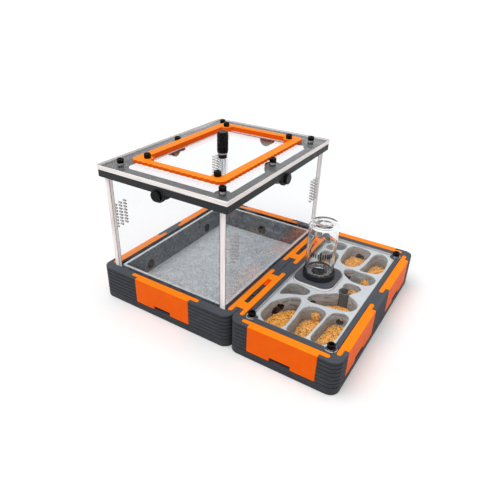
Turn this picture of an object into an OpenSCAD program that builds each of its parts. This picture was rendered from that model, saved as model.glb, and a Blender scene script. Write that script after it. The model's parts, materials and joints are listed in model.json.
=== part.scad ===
// Two-module ant farm: a glazed feeding arena on a ribbed base, and a low nest beside it.
// Frame: X runs from the arena to the nest, Y from front to back, Z up from the table.
// The origin is the middle of the footprint, on the table. Sizes are in millimetres.

/* [Modules] */
// Width of the arena module
arena_w = 118.4; // [117:0.1:140]
// Width of the nest module
nest_w = 79.3; // [76:0.1:100]
// Depth of both modules, front to back
module_d = 160; // [150:0.5:190]
// Gap between the two modules
seam_gap = 0.3; // [0.2:0.1:1]
// Height of both bases
base_h = 26.7; // [25:0.1:34]
// Radius of a base's upright corners
corner_r = 7; // [5:0.5:9]
// Thickness of a base's floor
floor_t = 3; // [2:0.5:4]

/* [Ribbed bases] */
// Height of the plain foot under the ribs
foot_h = 5.2; // [4:0.1:5.6]
// Distance from one rib groove to the next
groove_pitch = 3.1; // [2.4:0.1:4]
// Height of a rib groove
groove_h = 0.9; // [0.5:0.1:1.4]
// Depth of a rib groove
groove_deep = 0.8; // [0.4:0.1:1.2]
// Least plain height above the top groove
rim_land_h = 1.9; // [1.5:0.1:4]
// Arena rim, from the outer face to the wall seat
land_w = 7.1; // [6.8:0.1:9]
// Depth of the wall seat below the arena rim
seat_deep = 8; // [5:0.5:11]
// Nest rim at the two long sides
nest_side_rim = 10; // [9:0.1:10.6]
// Nest rim at the front and the back
nest_end_rim = 11.3; // [10:0.1:12.5]
// Radius of the inner corners of the pockets
pocket_r = 2; // [1:0.5:3]

/* [Side covers and links] */
// Width of a cover's face
cover_w = 50; // [40:0.5:54]
// Thickness of a cover's face
cover_t = 2.4; // [2:0.1:3]
// Height of the lower edge of a cover
cover_z = 5.8; // [5.7:0.1:7]
// How far a cover's top strip reaches over the rim
strip_w = 6.3; // [5.6:0.1:6.5]
// Thickness of the top strip
strip_t = 2.4; // [1.8:0.1:3]
// Where the locking tongue starts, from the outer face
tongue_in = 2.9; // [2.6:0.1:3.6]
// Length of the locking tongue, end to end
tongue_l = 63; // [58:0.5:66]
// Width of the finger notch
notch_w = 15.5; // [10:0.5:24]
// Height of the finger notch
notch_h = 3; // [2:0.1:3.4]
// Clearance round a cover or link in its recess
cover_fit = 0.15; // [0.1:0.05:0.25]
// Radius of the tube ports
port_r = 4; // [3:0.1:4.4]
// Height of the tube ports' axis
port_z = 13.5; // [13:0.1:14.5]

/* [Gate sliders] */
// Length of the slot in a link
gate_slot_l = 34.6; // [33:0.1:40]
// Length of a slider
slider_l = 25.6; // [24:0.1:26]
// Width of a slider's head
head_w = 3; // [2.6:0.1:3.2]
// Thickness of a slider's head
head_t = 2.2; // [1.6:0.1:2.8]
// Thickness of a slider's blade
blade_t = 1.6; // [1.2:0.1:1.8]
// How far the blade laps past the port, below it
blade_lap = 1.5; // [1:0.1:1.8]
// Clearance beside the head
head_fit = 0.15; // [0.1:0.05:0.2]
// Clearance beside the blade and at the slot's ends
gate_fit = 0.3; // [0.2:0.05:0.4]

/* [Basin] */
// Clearance round the basin in its pocket
basin_fit = 0.15; // [0.1:0.05:0.3]
// Drop of the basin's top edge below the rim
basin_drop = 0.3; // [0.2:0.1:1]
// Height of the basin's floor surface
basin_floor = 8; // [6:0.5:9]
// Thickness of the basin's wall at its top
basin_lip = 2.35; // [1.6:0.05:4]
// How much further in the basin's wall stands at the floor
basin_draft = 1.8; // [0.5:0.1:4]

/* [Clear walls] */
// Thickness of the walls
wall_t = 4; // [3:0.1:5]
// Clearance of a wall in its seat, on each face
wall_fit = 0.1; // [0.05:0.05:0.2]
// Columns of vent holes in a group
vent_cols = 3; // [2:1:4]
// Rows of vent holes in a group
vent_rows = 8; // [4:1:10]
// Radius of a vent hole
vent_r = 0.75; // [0.5:0.05:1]
// Spacing of the columns
vent_col_pitch = 4.7; // [3:0.1:6]
// Spacing of the rows
vent_row_pitch = 2.55; // [2.2:0.05:3.4]
// First column, from the front or back outer face
vent_first = 13.2; // [12.5:0.1:20]
// Height of the lowest row
vent_z = 59.3; // [45:0.1:68]

/* [Top collar] */
// Height of the collar's top above the table
tank_h = 105.8; // [98:0.1:130]
// Height of the collar
collar_h = 5.2; // [4.4:0.1:7]
// How far the walls reach up into the collar
collar_lap = 2.45; // [1.5:0.05:3]
// Collar's outer face, in from the arena's outer face
collar_inset = 4.2; // [4.1:0.1:4.5]
// Width of the collar's flange at the front and the back
flange_w = 10; // [9.5:0.1:14]
// How far the collar reaches inside the side walls
side_reach = 0.9; // [0.6:0.1:4]
// Radius of the collar's outer corners
collar_r = 1; // [0.5:0.5:8]
// Radius of the lobes round the corner screws
corner_lobe_r = 5.6; // [5:0.1:8]
// Radius of the lobes round the side screws
side_lobe_r = 5.8; // [4.6:0.1:7]
// Radius of the half-round lugs
lug_r = 5.4; // [4.8:0.1:7]
// Height of a lug's centre below the collar's underside
lug_drop = 1; // [0.5:0.1:2]
// Thickness of a lug's plate behind its wall
lug_back_t = 2.6; // [1.6:0.1:3.6]
// Radius of a lug screw's knob
knob_r = 4; // [2.6:0.1:4.5]
// Length of a lug screw's knob
knob_h = 2.6; // [2:0.1:4.1]
// Teeth round a knob
knob_teeth = 18; // [14:1:24]
// Depth of a knob's teeth
knurl_deep = 0.25; // [0.15:0.05:0.4]
// Radius of every small screw's shank
shank_r = 1.5; // [1.2:0.05:1.6]
// Running clearance of a turning shank
shank_fit = 0.05; // [0.03:0.01:0.09]

/* [Lid and hatch] */
// Thickness of the lid
lid_t = 3.7; // [3:0.1:5]
// Lid's edge, in from the arena's outer face
lid_inset = 3.85; // [3:0.05:5]
// Radius of the lid's corners
lid_r = 1; // [0.5:0.5:7]
// Width of the hole for the hatch
hatch_hole_w = 69.5; // [60:0.1:71]
// Depth of the hole for the hatch, front to back
hatch_hole_d = 109.5; // [96:0.1:116]
// Radius of the hatch hole's corners
hatch_hole_r = 4; // [3:0.5:6]
// How far the hatch's flange laps over the lid
hatch_lap_x = 5.25; // [4:0.05:5.4]
// The same lap at the front and the back
hatch_lap_y = 4.25; // [3.5:0.05:4.7]
// Thickness of the hatch's flange
hatch_t = 2.3; // [1.8:0.1:3.4]
// Wall of the hatch's downward lip
lip_t = 1.9; // [1.4:0.1:2.6]
// Clearance of the lip in the lid
hatch_fit = 0.25; // [0.15:0.05:0.4]
// Pitch of the grip teeth round the hatch
grip_pitch = 2.4; // [2:0.1:4]
// Depth of the grip teeth
grip_deep = 0.5; // [0.3:0.1:0.8]
// Thickness of the hatch's clear pane
pane_t = 2.4; // [2:0.1:2.8]
// Screw ears of the hatch, in from the pane's edges
ear_in = 2.2; // [2:0.1:3]
// Radius of the screw ears
ear_r = 4.4; // [3.6:0.1:5.4]
// Screws of the lid, in from the arena's side faces
lid_screw_side = 15.6; // [14:0.1:16]
// Corner screws of the lid, in from the back or front outer face
lid_screw_in = 16; // [15.5:0.1:18]
// Radius of a lid screw's head
lid_head_r = 2.5; // [2.2:0.05:3]
// Height of a lid screw's head
lid_head_h = 3.2; // [2.4:0.1:4]
// Height of a hatch screw's head
hatch_head_h = 3.6; // [2.4:0.1:4.4]

/* [Feeder] */
// Radius of the feeder's cap
cap_r = 4.5; // [3.8:0.1:5.5]
// Height of the cap above the hatch's pane
cap_h = 16; // [12:0.5:22]
// Radius of the hole in the pane
feeder_hole_r = 3.6; // [3.5:0.05:3.7]
// Clearance of the cap's neck in the pane
neck_fit = 0.3; // [0.2:0.05:0.35]
// Outer radius of the feeder's tube
tube_r = 2.8; // [2.4:0.05:2.9]
// Wall of the feeder's tube
tube_wall = 0.8; // [0.5:0.05:1]
// How far the tube hangs below the pane
tube_drop = 18; // [10:0.5:30]
// Pitch of the tube's ribs
tube_pitch = 1.6; // [1.2:0.1:3]

/* [Nest] */
// Thickness of the nest's clear cover
nest_cover_t = 3; // [2.4:0.1:4]
// Clearance round the nest's cover and block
nest_fit = 0.15; // [0.1:0.05:0.3]
// Height of the chambers' floor
chamber_z = 6; // [4.8:0.1:7]
// Depth of the loose substrate in the fullest chamber
sand_deep = 9.6; // [6:0.1:11]
// Gap of the substrate from the chamber walls
sand_gap = 0.3; // [0.2:0.05:0.6]
// Radius of the passages between chambers
passage_r = 3; // [2:0.1:3.4]
// Height of the passages' axis
passage_z = 16; // [14:0.1:18]
// Length of a passage's bore, which opens a chamber at each end
passage_l = 12; // [11:0.1:13]
// Radius of the screw bosses and the cover's lobes
boss_r = 4.2; // [3.6:0.1:4.6]
// Screws of the cover, out from the pocket's side
boss_out_x = -1; // [-1.4:0.1:0]
// Screws of the cover, out from the pocket's end
boss_out_y = -1.1; // [-1.4:0.1:0]
// Radius of a cover screw's head
nest_head_r = 2.75; // [2.4:0.05:3.2]
// Height of a cover screw's head
nest_head_h = 3; // [2.4:0.1:4]
// Length of a cover screw's shank below its head
nest_shank_l = 11; // [8:0.5:14]
// Outer radius of the upright tunnel sleeve
sleeve_r = 4.6; // [4:0.1:5]
// Wall of the tunnel sleeve
sleeve_wall = 1; // [0.8:0.1:1.4]
// Width of the sleeve's side opening
sleeve_slot = 5; // [4.4:0.1:6]

/* [Humidifier] */
// Side of the square plate
plate_w = 31.2; // [29:0.1:33]
// Radius of the plate's corners
plate_r = 8; // [3:0.5:9]
// Height of the plate above the nest's cover
plate_up = 0.3; // [0.2:0.1:2]
// Plate's edge, in from the pocket's side
plate_edge = 1.7; // [1:0.1:3]
// Plate's centre, back from the nest's middle
plate_y = 4; // [2:0.1:6]
// Clearance of the plate in the cover
plate_fit = 0.2; // [0.1:0.05:0.4]
// Outer radius of the ring
ring_r = 12.1; // [12:0.1:14]
// Height of the ring
ring_h = 5; // [4:0.1:7]
// Depth of the cup in the ring
cup_deep = 3; // [2:0.1:3.2]
// Radius of the well under the plate
well_r = 9; // [8:0.1:10]
// Gap between the stopper and the felt pad
pad_gap = 0.3; // [0.2:0.05:0.9]

/* [Vial] */
// Outer radius of the vial
vial_r = 11; // [9.5:0.1:11.4]
// Height of the vial's body above the ring's cup
vial_body_l = 43; // [30:0.5:60]
// Thickness of the glass
glass_t = 1.2; // [0.8:0.1:1.5]
// Outer radius of the neck
neck_r = 6.2; // [5.6:0.1:6.4]
// Length of the neck, with its lip
neck_l = 7.7; // [6:0.1:8.5]
// How far the lip stands out from the neck
lip_out = 0.6; // [0.3:0.1:0.7]
// Height of the lip
lip_h = 1.6; // [1:0.1:2.4]
// Radius of the vial's shoulder and of its closed end
shoulder_r = 2.4; // [1.8:0.1:3]
// Height of the stopper's plug inside the neck
plug_h = 3.5; // [2:0.1:5]
// Height of the stopper's flange
plug_flange_h = 1.4; // [1:0.1:2]

/* [Hidden] */
$fn = 48;
// Overrun of every cut past the face that it opens
over = 1;
// Points of a smooth outline from one given point to the next
curve_steps = 4;
arc_steps = 6;

// Places of the two modules and of the doors along their sides
total_w = arena_w + seam_gap + nest_w;
arena_x = -total_w/2 + arena_w/2;
nest_x = total_w/2 - nest_w/2;
seam_x = -total_w/2 + arena_w + seam_gap/2;
quarter_d = module_d/4;
groove_n = floor((base_h - rim_land_h - groove_h - foot_h)/groove_pitch) + 1;

// Arena levels and walls
seat_w = wall_t + 2*wall_fit;
arena_rim = land_w + seat_w;
seat_z = base_h - seat_deep;
collar_z = tank_h - collar_h;
wall_top = collar_z + collar_lap - wall_fit;
wall_out_x = arena_w/2 - land_w - wall_fit;
wall_out_y = module_d/2 - land_w - wall_fit;
lug_z = collar_z - lug_drop;
lug_t = land_w - wall_fit - collar_inset;
lug_lap = 2*lug_drop;
basin_top = base_h - basin_drop;
lid_top = tank_h + lid_t;
lid_screw_x = arena_w/2 - lid_screw_side;
lid_screw_y = module_d/2 - lid_screw_in;
lid_shank_l = lid_t + collar_h - wall_fit;

// Hatch levels
hatch_w = hatch_hole_w + 2*hatch_lap_x;
hatch_d = hatch_hole_d + 2*hatch_lap_y;
hatch_top = lid_top + hatch_t;
lip_w = hatch_hole_w - 2*hatch_fit;
lip_d = hatch_hole_d - 2*hatch_fit;
lip_in_w = lip_w - 2*lip_t;
lip_in_d = lip_d - 2*lip_t;
lip_z = tank_h + wall_fit;
pane_w = lip_in_w - 2*wall_fit;
pane_d = lip_in_d - 2*wall_fit;
pane_top = lip_z + pane_t;
ear_x = pane_w/2 - ear_in;
ear_y = pane_d/2 - ear_in;
tube_in = cap_h/3;
rib_deep = tube_wall/3;

// Nest levels
pocket_w = nest_w - 2*nest_side_rim;
pocket_d = module_d - 2*nest_end_rim;
block_w = pocket_w - 2*nest_fit;
block_d = pocket_d - 2*nest_fit;
block_top = base_h - nest_cover_t;
boss_x = pocket_w/2 + boss_out_x;
boss_y = pocket_d/2 + boss_out_y;
port_reach = nest_side_rim*0.65;
plate_x = -(pocket_w/2 - plate_edge - plate_w/2);
plate_top = base_h + plate_up;
cup_z = plate_top + ring_h - cup_deep;
shoulder_z = cup_z + wall_fit;
neck_z = shoulder_z - neck_l;
plug_z = neck_z - plug_flange_h;
neck_hole_r = neck_r + lip_out + neck_fit;
slider_travel = gate_slot_l - slider_l - 2*gate_fit;
blade_z = port_z - port_r - blade_lap;
slider_rest = -gate_slot_l/2 + gate_fit + slider_l/2;

// Outlines of the chambers, as shares of the block's width and depth from its front left corner
chamber_shares = [
    [[0.05, 0.07], [0.05, 0.155], [0.08, 0.205], [0.16, 0.25], [0.24, 0.285], [0.31, 0.29],
     [0.35, 0.26], [0.37, 0.195], [0.39, 0.105], [0.39, 0.045], [0.34, 0.015], [0.23, 0.015],
     [0.13, 0.03]],
    [[0.43, 0.035], [0.43, 0.12], [0.42, 0.195], [0.44, 0.235], [0.51, 0.265], [0.59, 0.27],
     [0.68, 0.255], [0.7, 0.21], [0.69, 0.135], [0.68, 0.06], [0.66, 0.02], [0.58, 0.015],
     [0.5, 0.015]],
    [[0.74, 0.245], [0.78, 0.28], [0.88, 0.295], [0.95, 0.27], [0.96, 0.175], [0.96, 0.095],
     [0.92, 0.045], [0.86, 0.02], [0.77, 0.015], [0.72, 0.04], [0.72, 0.1], [0.73, 0.175]],
    [[0.04, 0.28], [0.04, 0.33], [0.05, 0.385], [0.12, 0.405], [0.22, 0.4], [0.33, 0.385],
     [0.35, 0.355], [0.31, 0.33], [0.21, 0.31], [0.12, 0.29], [0.07, 0.27]],
    [[0.38, 0.31], [0.39, 0.345], [0.44, 0.38], [0.54, 0.41], [0.64, 0.445], [0.74, 0.46],
     [0.84, 0.445], [0.92, 0.42], [0.95, 0.39], [0.94, 0.355], [0.9, 0.33], [0.82, 0.315],
     [0.67, 0.305], [0.51, 0.295], [0.43, 0.295]],
    [[0.64, 0.53], [0.65, 0.56], [0.72, 0.575], [0.8, 0.57], [0.86, 0.545], [0.83, 0.505],
     [0.76, 0.48], [0.68, 0.49]],
    [[0.53, 0.655], [0.52, 0.695], [0.59, 0.715], [0.69, 0.71], [0.81, 0.715], [0.91, 0.7],
     [0.95, 0.67], [0.93, 0.625], [0.87, 0.6], [0.77, 0.595], [0.68, 0.6], [0.6, 0.625]],
    [[0.37, 0.78], [0.35, 0.83], [0.34, 0.91], [0.35, 0.955], [0.4, 0.985], [0.55, 0.985],
     [0.63, 0.975], [0.67, 0.94], [0.66, 0.86], [0.64, 0.785], [0.59, 0.75], [0.52, 0.735],
     [0.43, 0.745]],
    [[0.68, 0.74], [0.7, 0.79], [0.71, 0.85], [0.71, 0.91], [0.73, 0.955], [0.79, 0.98],
     [0.86, 0.97], [0.92, 0.93], [0.95, 0.865], [0.95, 0.79], [0.91, 0.75], [0.81, 0.735],
     [0.73, 0.73]],
    [[0.06, 0.895], [0.06, 0.935], [0.13, 0.975], [0.23, 0.98], [0.3, 0.96], [0.3, 0.91],
     [0.24, 0.885], [0.13, 0.88]],
    [[0.075, 0.725], [0.06, 0.77], [0.06, 0.82], [0.12, 0.85], [0.23, 0.85], [0.31, 0.81],
     [0.33, 0.75], [0.35, 0.695], [0.3, 0.67], [0.2, 0.668], [0.12, 0.69]]
];
// Depth of the substrate in each chamber, as shares of the fullest one's
fill_shares = [0.6, 0.6, 0.73, 0.2, 0.66, 1, 0.2, 0.73, 0.62, 0.2, 0.52];
// Passages: place of the bore's middle in the block, and its turn
passage_shares = [
    [0.11, 0.255, 0], [0.55, 0.285, 0], [0.84, 0.302, 0], [0.372, 0.35, 90], [0.75, 0.587, 0],
    [0.55, 0.722, 0], [0.8, 0.724, 0], [0.345, 0.77, 90], [0.2, 0.866, 0]
];
// Heaps of substrate: chamber, place in the block, and radius and height as shares of its width
heap_shares = [
    [0, 0.22, 0.13, 0.16, 0.035], [1, 0.57, 0.16, 0.11, 0.05], [2, 0.84, 0.13, 0.12, 0.04],
    [6, 0.77, 0.65, 0.08, 0.05], [7, 0.5, 0.87, 0.13, 0.04], [8, 0.82, 0.85, 0.12, 0.035]
];
// Place of the tunnel sleeve in the block
sleeve_shares = [0.71, 0.482];
sleeve_x = (sleeve_shares[0] - 0.5)*block_w;
sleeve_y = (sleeve_shares[1] - 0.5)*block_d;

// Curves and outlines
function spline(a, b, c, d, t) =
    ((2*b) + (c - a)*t + (2*a - 5*b + 4*c - d)*t*t + (3*b - a - 3*c + d)*t*t*t)/2;
function smooth_loop(pts) = let (n = len(pts))
    [for (i = [0:n - 1]) for (k = [0:curve_steps - 1])
        spline(pts[i], pts[(i + 1)%n], pts[(i + 2)%n], pts[(i + 3)%n], k/curve_steps)];
function middle(pts, i = 0, total = [0, 0]) =
    i == len(pts) ? total/len(pts) : middle(pts, i + 1, total + pts[i]);
function drawn_in(pts, gap) = let (c = middle(pts)) [for (p = pts) p + (c - p)*gap/norm(c - p)];
function in_block(shares) =
    [for (s = shares) [(s[0] - 0.5)*block_w, (s[1] - 0.5)*block_d]];
function arc(cx, cy, r, from, to) = [for (i = [0:arc_steps])
    let (a = from + (to - from)*i/arc_steps) [cx + r*cos(a), cy + r*sin(a)]];
function toothed_circle(r, deep, teeth) = [for (i = [0:2*teeth - 1])
    let (a = 180*i/teeth, s = r - deep*(i%2)) [s*cos(a), s*sin(a)]];
function toothed_side(len_mm, out, turn) = let (n = floor((len_mm - 4*grip_pitch)/grip_pitch))
    [for (i = [0:n]) for (k = [0, 1])
        let (x = (i - n/2 + (k - 0.5)/2)*grip_pitch, y = -out + grip_deep*((i + k)%2))
        [x*cos(turn) - y*sin(turn), x*sin(turn) + y*cos(turn)]];

module rounded_rect(w, d, r) {
    square([w - 2*r, d], center = true);
    square([w, d - 2*r], center = true);
    for (sx = [-1, 1], sy = [-1, 1])
        translate([sx*(w/2 - r), sy*(d/2 - r)]) circle(r = r);
}

// Puts its children on a module's side, with their X along it and their Y going inwards
module on_side(w, turn, along) {
    reach = turn%180 == 0 ? module_d/2 : w/2;
    rotate(turn) translate([along, -reach, 0]) children();
}

module bore_x(r, y, z) {
    translate([0, y, z]) rotate([0, 90, 0]) cylinder(r = r, h = total_w, center = true);
}

module bore_y(r, z) {
    translate([0, 0, z]) rotate([90, 0, 0]) cylinder(r = r, h = 2*module_d, center = true);
}

// Cap screw standing on z = 0, with its shank below
module cap_screw(head_r, head_h, shank_l) {
    difference() {
        union() {
            cylinder(r = head_r, h = head_h*0.85);
            translate([0, 0, head_h*0.85])
                cylinder(r1 = head_r, r2 = head_r - head_h*0.15, h = head_h*0.15);
            translate([0, 0, -shank_l]) cylinder(r = shank_r, h = shank_l + head_h/2);
        }
        translate([0, 0, head_h*0.4]) cylinder(r = head_r*0.58, h = head_h, $fn = 6);
    }
}

// Ribbed base of a module, with a rounded pocket
module ribbed_tray(w, side_rim, end_rim) {
    difference() {
        linear_extrude(base_h) rounded_rect(w, module_d, corner_r);
        for (i = [0:groove_n - 1])
            translate([0, 0, foot_h + i*groove_pitch]) linear_extrude(groove_h) difference() {
                rounded_rect(w + 2*over, module_d + 2*over, corner_r + over);
                rounded_rect(w - 2*groove_deep, module_d - 2*groove_deep,
                             corner_r - groove_deep);
            }
        translate([0, 0, floor_t]) linear_extrude(base_h)
            rounded_rect(w - 2*side_rim, module_d - 2*end_rim, pocket_r);
    }
}

// Side cover: a face plate with a top strip and two locking tongues, open past by "past"
module cover_form(fit, past) {
    tongue_r = (strip_w - tongue_in)/2 + fit;
    tongue_run = tongue_l/2 + fit - tongue_r;
    tongue_mid = (strip_w + tongue_in)/2;
    translate([-cover_w/2 - fit, -past, cover_z])
        cube([cover_w + 2*fit, cover_t + fit + past, base_h - cover_z + past]);
    translate([0, 0, base_h - strip_t - fit]) linear_extrude(strip_t + fit + past) {
        translate([-cover_w/2 - fit, -past]) square([cover_w + 2*fit, strip_w + fit + past]);
        translate([-tongue_run, tongue_mid - tongue_r]) square([2*tongue_run, 2*tongue_r]);
        for (s = [-1, 1]) translate([s*tongue_run, tongue_mid]) circle(r = tongue_r);
    }
}

module side_cover() {
    color("darkorange") difference() {
        cover_form(0, 0);
        translate([-notch_w/2, -over, cover_z - over])
            cube([notch_w, cover_t + 2*over, notch_h + over]);
    }
}

// Arena: base, basin and walls
module arena_base() {
    color("dimgray") translate([arena_x, 0, 0]) difference() {
        ribbed_tray(arena_w, arena_rim, arena_rim);
        translate([0, 0, seat_z]) linear_extrude(base_h)
            square([arena_w - 2*land_w, module_d - 2*land_w], center = true);
        for (turn = [0, 180]) on_side(arena_w, turn, 0) cover_form(cover_fit, over);
        for (turn = [90, 270], s = [-1, 1])
            on_side(arena_w, turn, s*quarter_d) cover_form(cover_fit, over);
        for (s = [-1, 1]) bore_x(port_r, s*quarter_d, port_z);
        bore_y(port_r, port_z);
    }
}

module drafted_section(out) {
    half = out/2 - basin_lip;
    rise = basin_top - basin_floor;
    past = basin_draft*over/rise;
    polygon([[-half + basin_draft, basin_floor], [half - basin_draft, basin_floor],
             [half + past, basin_top + over], [-half - past, basin_top + over]]);
}

module arena_basin() {
    basin_w = arena_w - 2*(arena_rim + basin_fit);
    basin_d = module_d - 2*(arena_rim + basin_fit);
    color("silver") translate([arena_x, 0, 0]) difference() {
        translate([0, 0, floor_t]) linear_extrude(basin_top - floor_t)
            rounded_rect(basin_w, basin_d, pocket_r);
        intersection() {
            rotate([90, 0, 0]) linear_extrude(module_d, center = true)
                drafted_section(basin_w);
            rotate([90, 0, 90]) linear_extrude(arena_w, center = true)
                drafted_section(basin_d);
        }
        for (s = [-1, 1]) bore_x(port_r, s*quarter_d, port_z);
        bore_y(port_r, port_z);
    }
}

module end_wall(s) {
    half = wall_out_x - wall_t - wall_fit;
    color("lightcyan", 0.35) translate([arena_x, 0, seat_z])
        translate([-half, s > 0 ? wall_out_y - wall_t : -wall_out_y, 0])
            cube([2*half, wall_t, wall_top - seat_z]);
}

module side_wall(s) {
    color("lightcyan", 0.35) translate([arena_x, 0, 0]) difference() {
        translate([s > 0 ? wall_out_x - wall_t : -wall_out_x, -wall_out_y, seat_z])
            cube([wall_t, 2*wall_out_y, wall_top - seat_z]);
        for (end = [-1, 1], c = [0:vent_cols - 1], r = [0:vent_rows - 1])
            translate([0, end*(module_d/2 - vent_first - c*vent_col_pitch),
                       vent_z + r*vent_row_pitch])
                rotate([0, s*90, 0]) cylinder(r = vent_r, h = arena_w);
    }
}

module front_wall() { end_wall(-1); }

module back_wall() { end_wall(1); }

module left_wall() { side_wall(-1); }

module right_wall() { side_wall(1); }

// Collar round the wall tops, with a lug and a knob at the middle of each side
module on_collar(turn) {
    reach = (turn%180 == 0 ? module_d/2 : arena_w/2) - collar_inset;
    translate([arena_x, 0, lug_z]) rotate(turn) translate([0, -reach, 0]) rotate([-90, 0, 0])
        children();
}

module lid_screw_places() {
    for (sx = [-1, 1], sy = [-1, 0, 1])
        translate([arena_x + sx*lid_screw_x, sy*lid_screw_y, 0]) children();
}

module lug_outline() {
    intersection() {
        circle(r = lug_r);
        translate([-lug_r, -lug_lap]) square([2*lug_r, lug_r + lug_lap]);
    }
}

module top_collar() {
    collar_w = arena_w - 2*collar_inset;
    collar_d = module_d - 2*collar_inset;
    color("#2b2d30") difference() {
        union() {
            translate([arena_x, 0, collar_z]) linear_extrude(collar_h) {
                difference() {
                    rounded_rect(collar_w, collar_d, collar_r);
                    rounded_rect(arena_w - 2*(arena_rim + side_reach), collar_d - 2*flange_w,
                                 pocket_r);
                }
                for (sx = [-1, 1]) {
                    translate([sx*lid_screw_x, 0]) circle(r = side_lobe_r);
                    for (sy = [-1, 1])
                        translate([sx*lid_screw_x, sy*lid_screw_y])
                            circle(r = corner_lobe_r);
                }
            }
            for (turn = [0, 90, 180, 270]) on_collar(turn) {
                linear_extrude(lug_t) lug_outline();
                translate([0, 0, arena_rim - collar_inset]) linear_extrude(lug_back_t)
                    lug_outline();
            }
        }
        translate([arena_x, 0, collar_z - over]) linear_extrude(collar_lap + over)
            difference() {
                square([arena_w - 2*land_w, module_d - 2*land_w], center = true);
                square([arena_w - 2*arena_rim, module_d - 2*arena_rim], center = true);
            }
        for (turn = [0, 90, 180, 270]) on_collar(turn) translate([0, 0, -over])
            cylinder(r = shank_r + shank_fit, h = lug_t + 2*over);
        lid_screw_places() translate([0, 0, collar_z - over])
            cylinder(r = shank_r + wall_fit, h = collar_h + 2*over);
    }
}

module knob(turn) {
    color("#1c1c1e") on_collar(turn) {
        translate([0, 0, -knob_h]) linear_extrude(knob_h)
            polygon(toothed_circle(knob_r, knurl_deep, knob_teeth));
        translate([0, 0, -knob_h/2]) cylinder(r = shank_r, h = knob_h/2 + lug_t - gate_fit);
    }
}

module knob_front() { knob(0); }

module knob_right() { knob(90); }

module knob_back() { knob(180); }

module knob_left() { knob(270); }

// Lid and hatch
module lid_plate() {
    color("lightcyan", 0.35) difference() {
        translate([arena_x, 0, tank_h]) linear_extrude(lid_t) difference() {
            rounded_rect(arena_w - 2*lid_inset, module_d - 2*lid_inset, lid_r);
            rounded_rect(hatch_hole_w, hatch_hole_d, hatch_hole_r);
        }
        lid_screw_places() translate([0, 0, tank_h - over])
            cylinder(r = shank_r + head_fit, h = lid_t + 2*over);
    }
}

module lid_screws() {
    color("#1c1c1e") lid_screw_places() translate([0, 0, lid_top])
        cap_screw(lid_head_r, lid_head_h, lid_shank_l);
}

module ear_places() {
    for (sx = [-1, 1], sy = [-1, 1])
        translate([arena_x + sx*ear_x, sy*ear_y, 0]) children();
}

module hatch_frame() {
    flange_points = concat(
        toothed_side(hatch_w, hatch_d/2, 0), toothed_side(hatch_d, hatch_w/2, 90),
        toothed_side(hatch_w, hatch_d/2, 180), toothed_side(hatch_d, hatch_w/2, 270));
    color("darkorange") difference() {
        union() {
            translate([arena_x, 0, lid_top]) linear_extrude(hatch_t) difference() {
                union() {
                    polygon(flange_points);
                    rounded_rect(hatch_w - 3*grip_deep, hatch_d - 3*grip_deep, hatch_hole_r);
                }
                rounded_rect(lip_in_w, lip_in_d, hatch_hole_r - lip_t);
            }
            translate([arena_x, 0, lip_z]) linear_extrude(lid_top - lip_z + hatch_t/2)
                difference() {
                    rounded_rect(lip_w, lip_d, hatch_hole_r);
                    rounded_rect(lip_in_w, lip_in_d, hatch_hole_r - lip_t);
                }
            intersection() {
                ear_places() translate([0, 0, pane_top])
                    cylinder(r = ear_r, h = hatch_top - pane_top);
                translate([arena_x, 0, pane_top]) linear_extrude(hatch_top)
                    rounded_rect(lip_w, lip_d, hatch_hole_r);
            }
        }
        ear_places() translate([0, 0, lip_z])
            cylinder(r = shank_r + wall_fit, h = hatch_top);
    }
}

module hatch_pane() {
    color("lightcyan", 0.35) difference() {
        translate([arena_x, 0, lip_z]) linear_extrude(pane_t)
            rounded_rect(pane_w, pane_d, hatch_hole_r - lip_t);
        ear_places() translate([0, 0, lip_z - over])
            cylinder(r = shank_r + wall_fit, h = pane_t + 2*over);
        translate([arena_x, 0, lip_z - over])
            cylinder(r = feeder_hole_r, h = pane_t + 2*over);
    }
}

module hatch_screws() {
    color("#1c1c1e") ear_places() translate([0, 0, hatch_top])
        cap_screw(lid_head_r, hatch_head_h, hatch_top - lip_z);
}

// Feeder: a knurled cap on the pane, with a ribbed tube below it
module feeder_cap() {
    neck = feeder_hole_r - neck_fit;
    seat = feeder_hole_r + neck_fit/2;
    core = cap_r - 1.5*knurl_deep;
    grip_z = cap_h/4;
    color("#1c1c1e") translate([arena_x, 0, pane_top]) difference() {
        union() {
            translate([0, 0, -pane_t]) cylinder(r = neck, h = pane_t + grip_z);
            cylinder(r1 = seat, r2 = core, h = grip_z);
            translate([0, 0, grip_z]) linear_extrude(cap_h - 1.5*grip_z)
                polygon(toothed_circle(cap_r, knurl_deep, knob_teeth));
            translate([0, 0, cap_h - grip_z/2])
                cylinder(r1 = core, r2 = core - neck_fit, h = grip_z/2);
        }
        translate([0, 0, -pane_t - over])
            cylinder(r = tube_r + shank_fit, h = pane_t + over + tube_in);
    }
}

module feeder_tube() {
    ribs = floor(tube_drop/tube_pitch);
    outside = [for (i = [0:ribs - 1]) for (k = [0, 1])
        [tube_r - rib_deep*k, -pane_t - (i + k/2)*tube_pitch]];
    color("lightcyan", 0.35) translate([arena_x, 0, pane_top]) rotate_extrude()
        polygon(concat([[tube_r - tube_wall, tube_in], [tube_r, tube_in]], outside,
                       [[tube_r, -pane_t - tube_drop],
                        [tube_r - tube_wall, -pane_t - tube_drop]]));
}

// Nest: base, block, cover and what lies in the chambers
module boss_places() {
    for (sx = [-1, 1], sy = [-1, 1])
        translate([nest_x + sx*boss_x, sy*boss_y, 0]) children();
}

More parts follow.
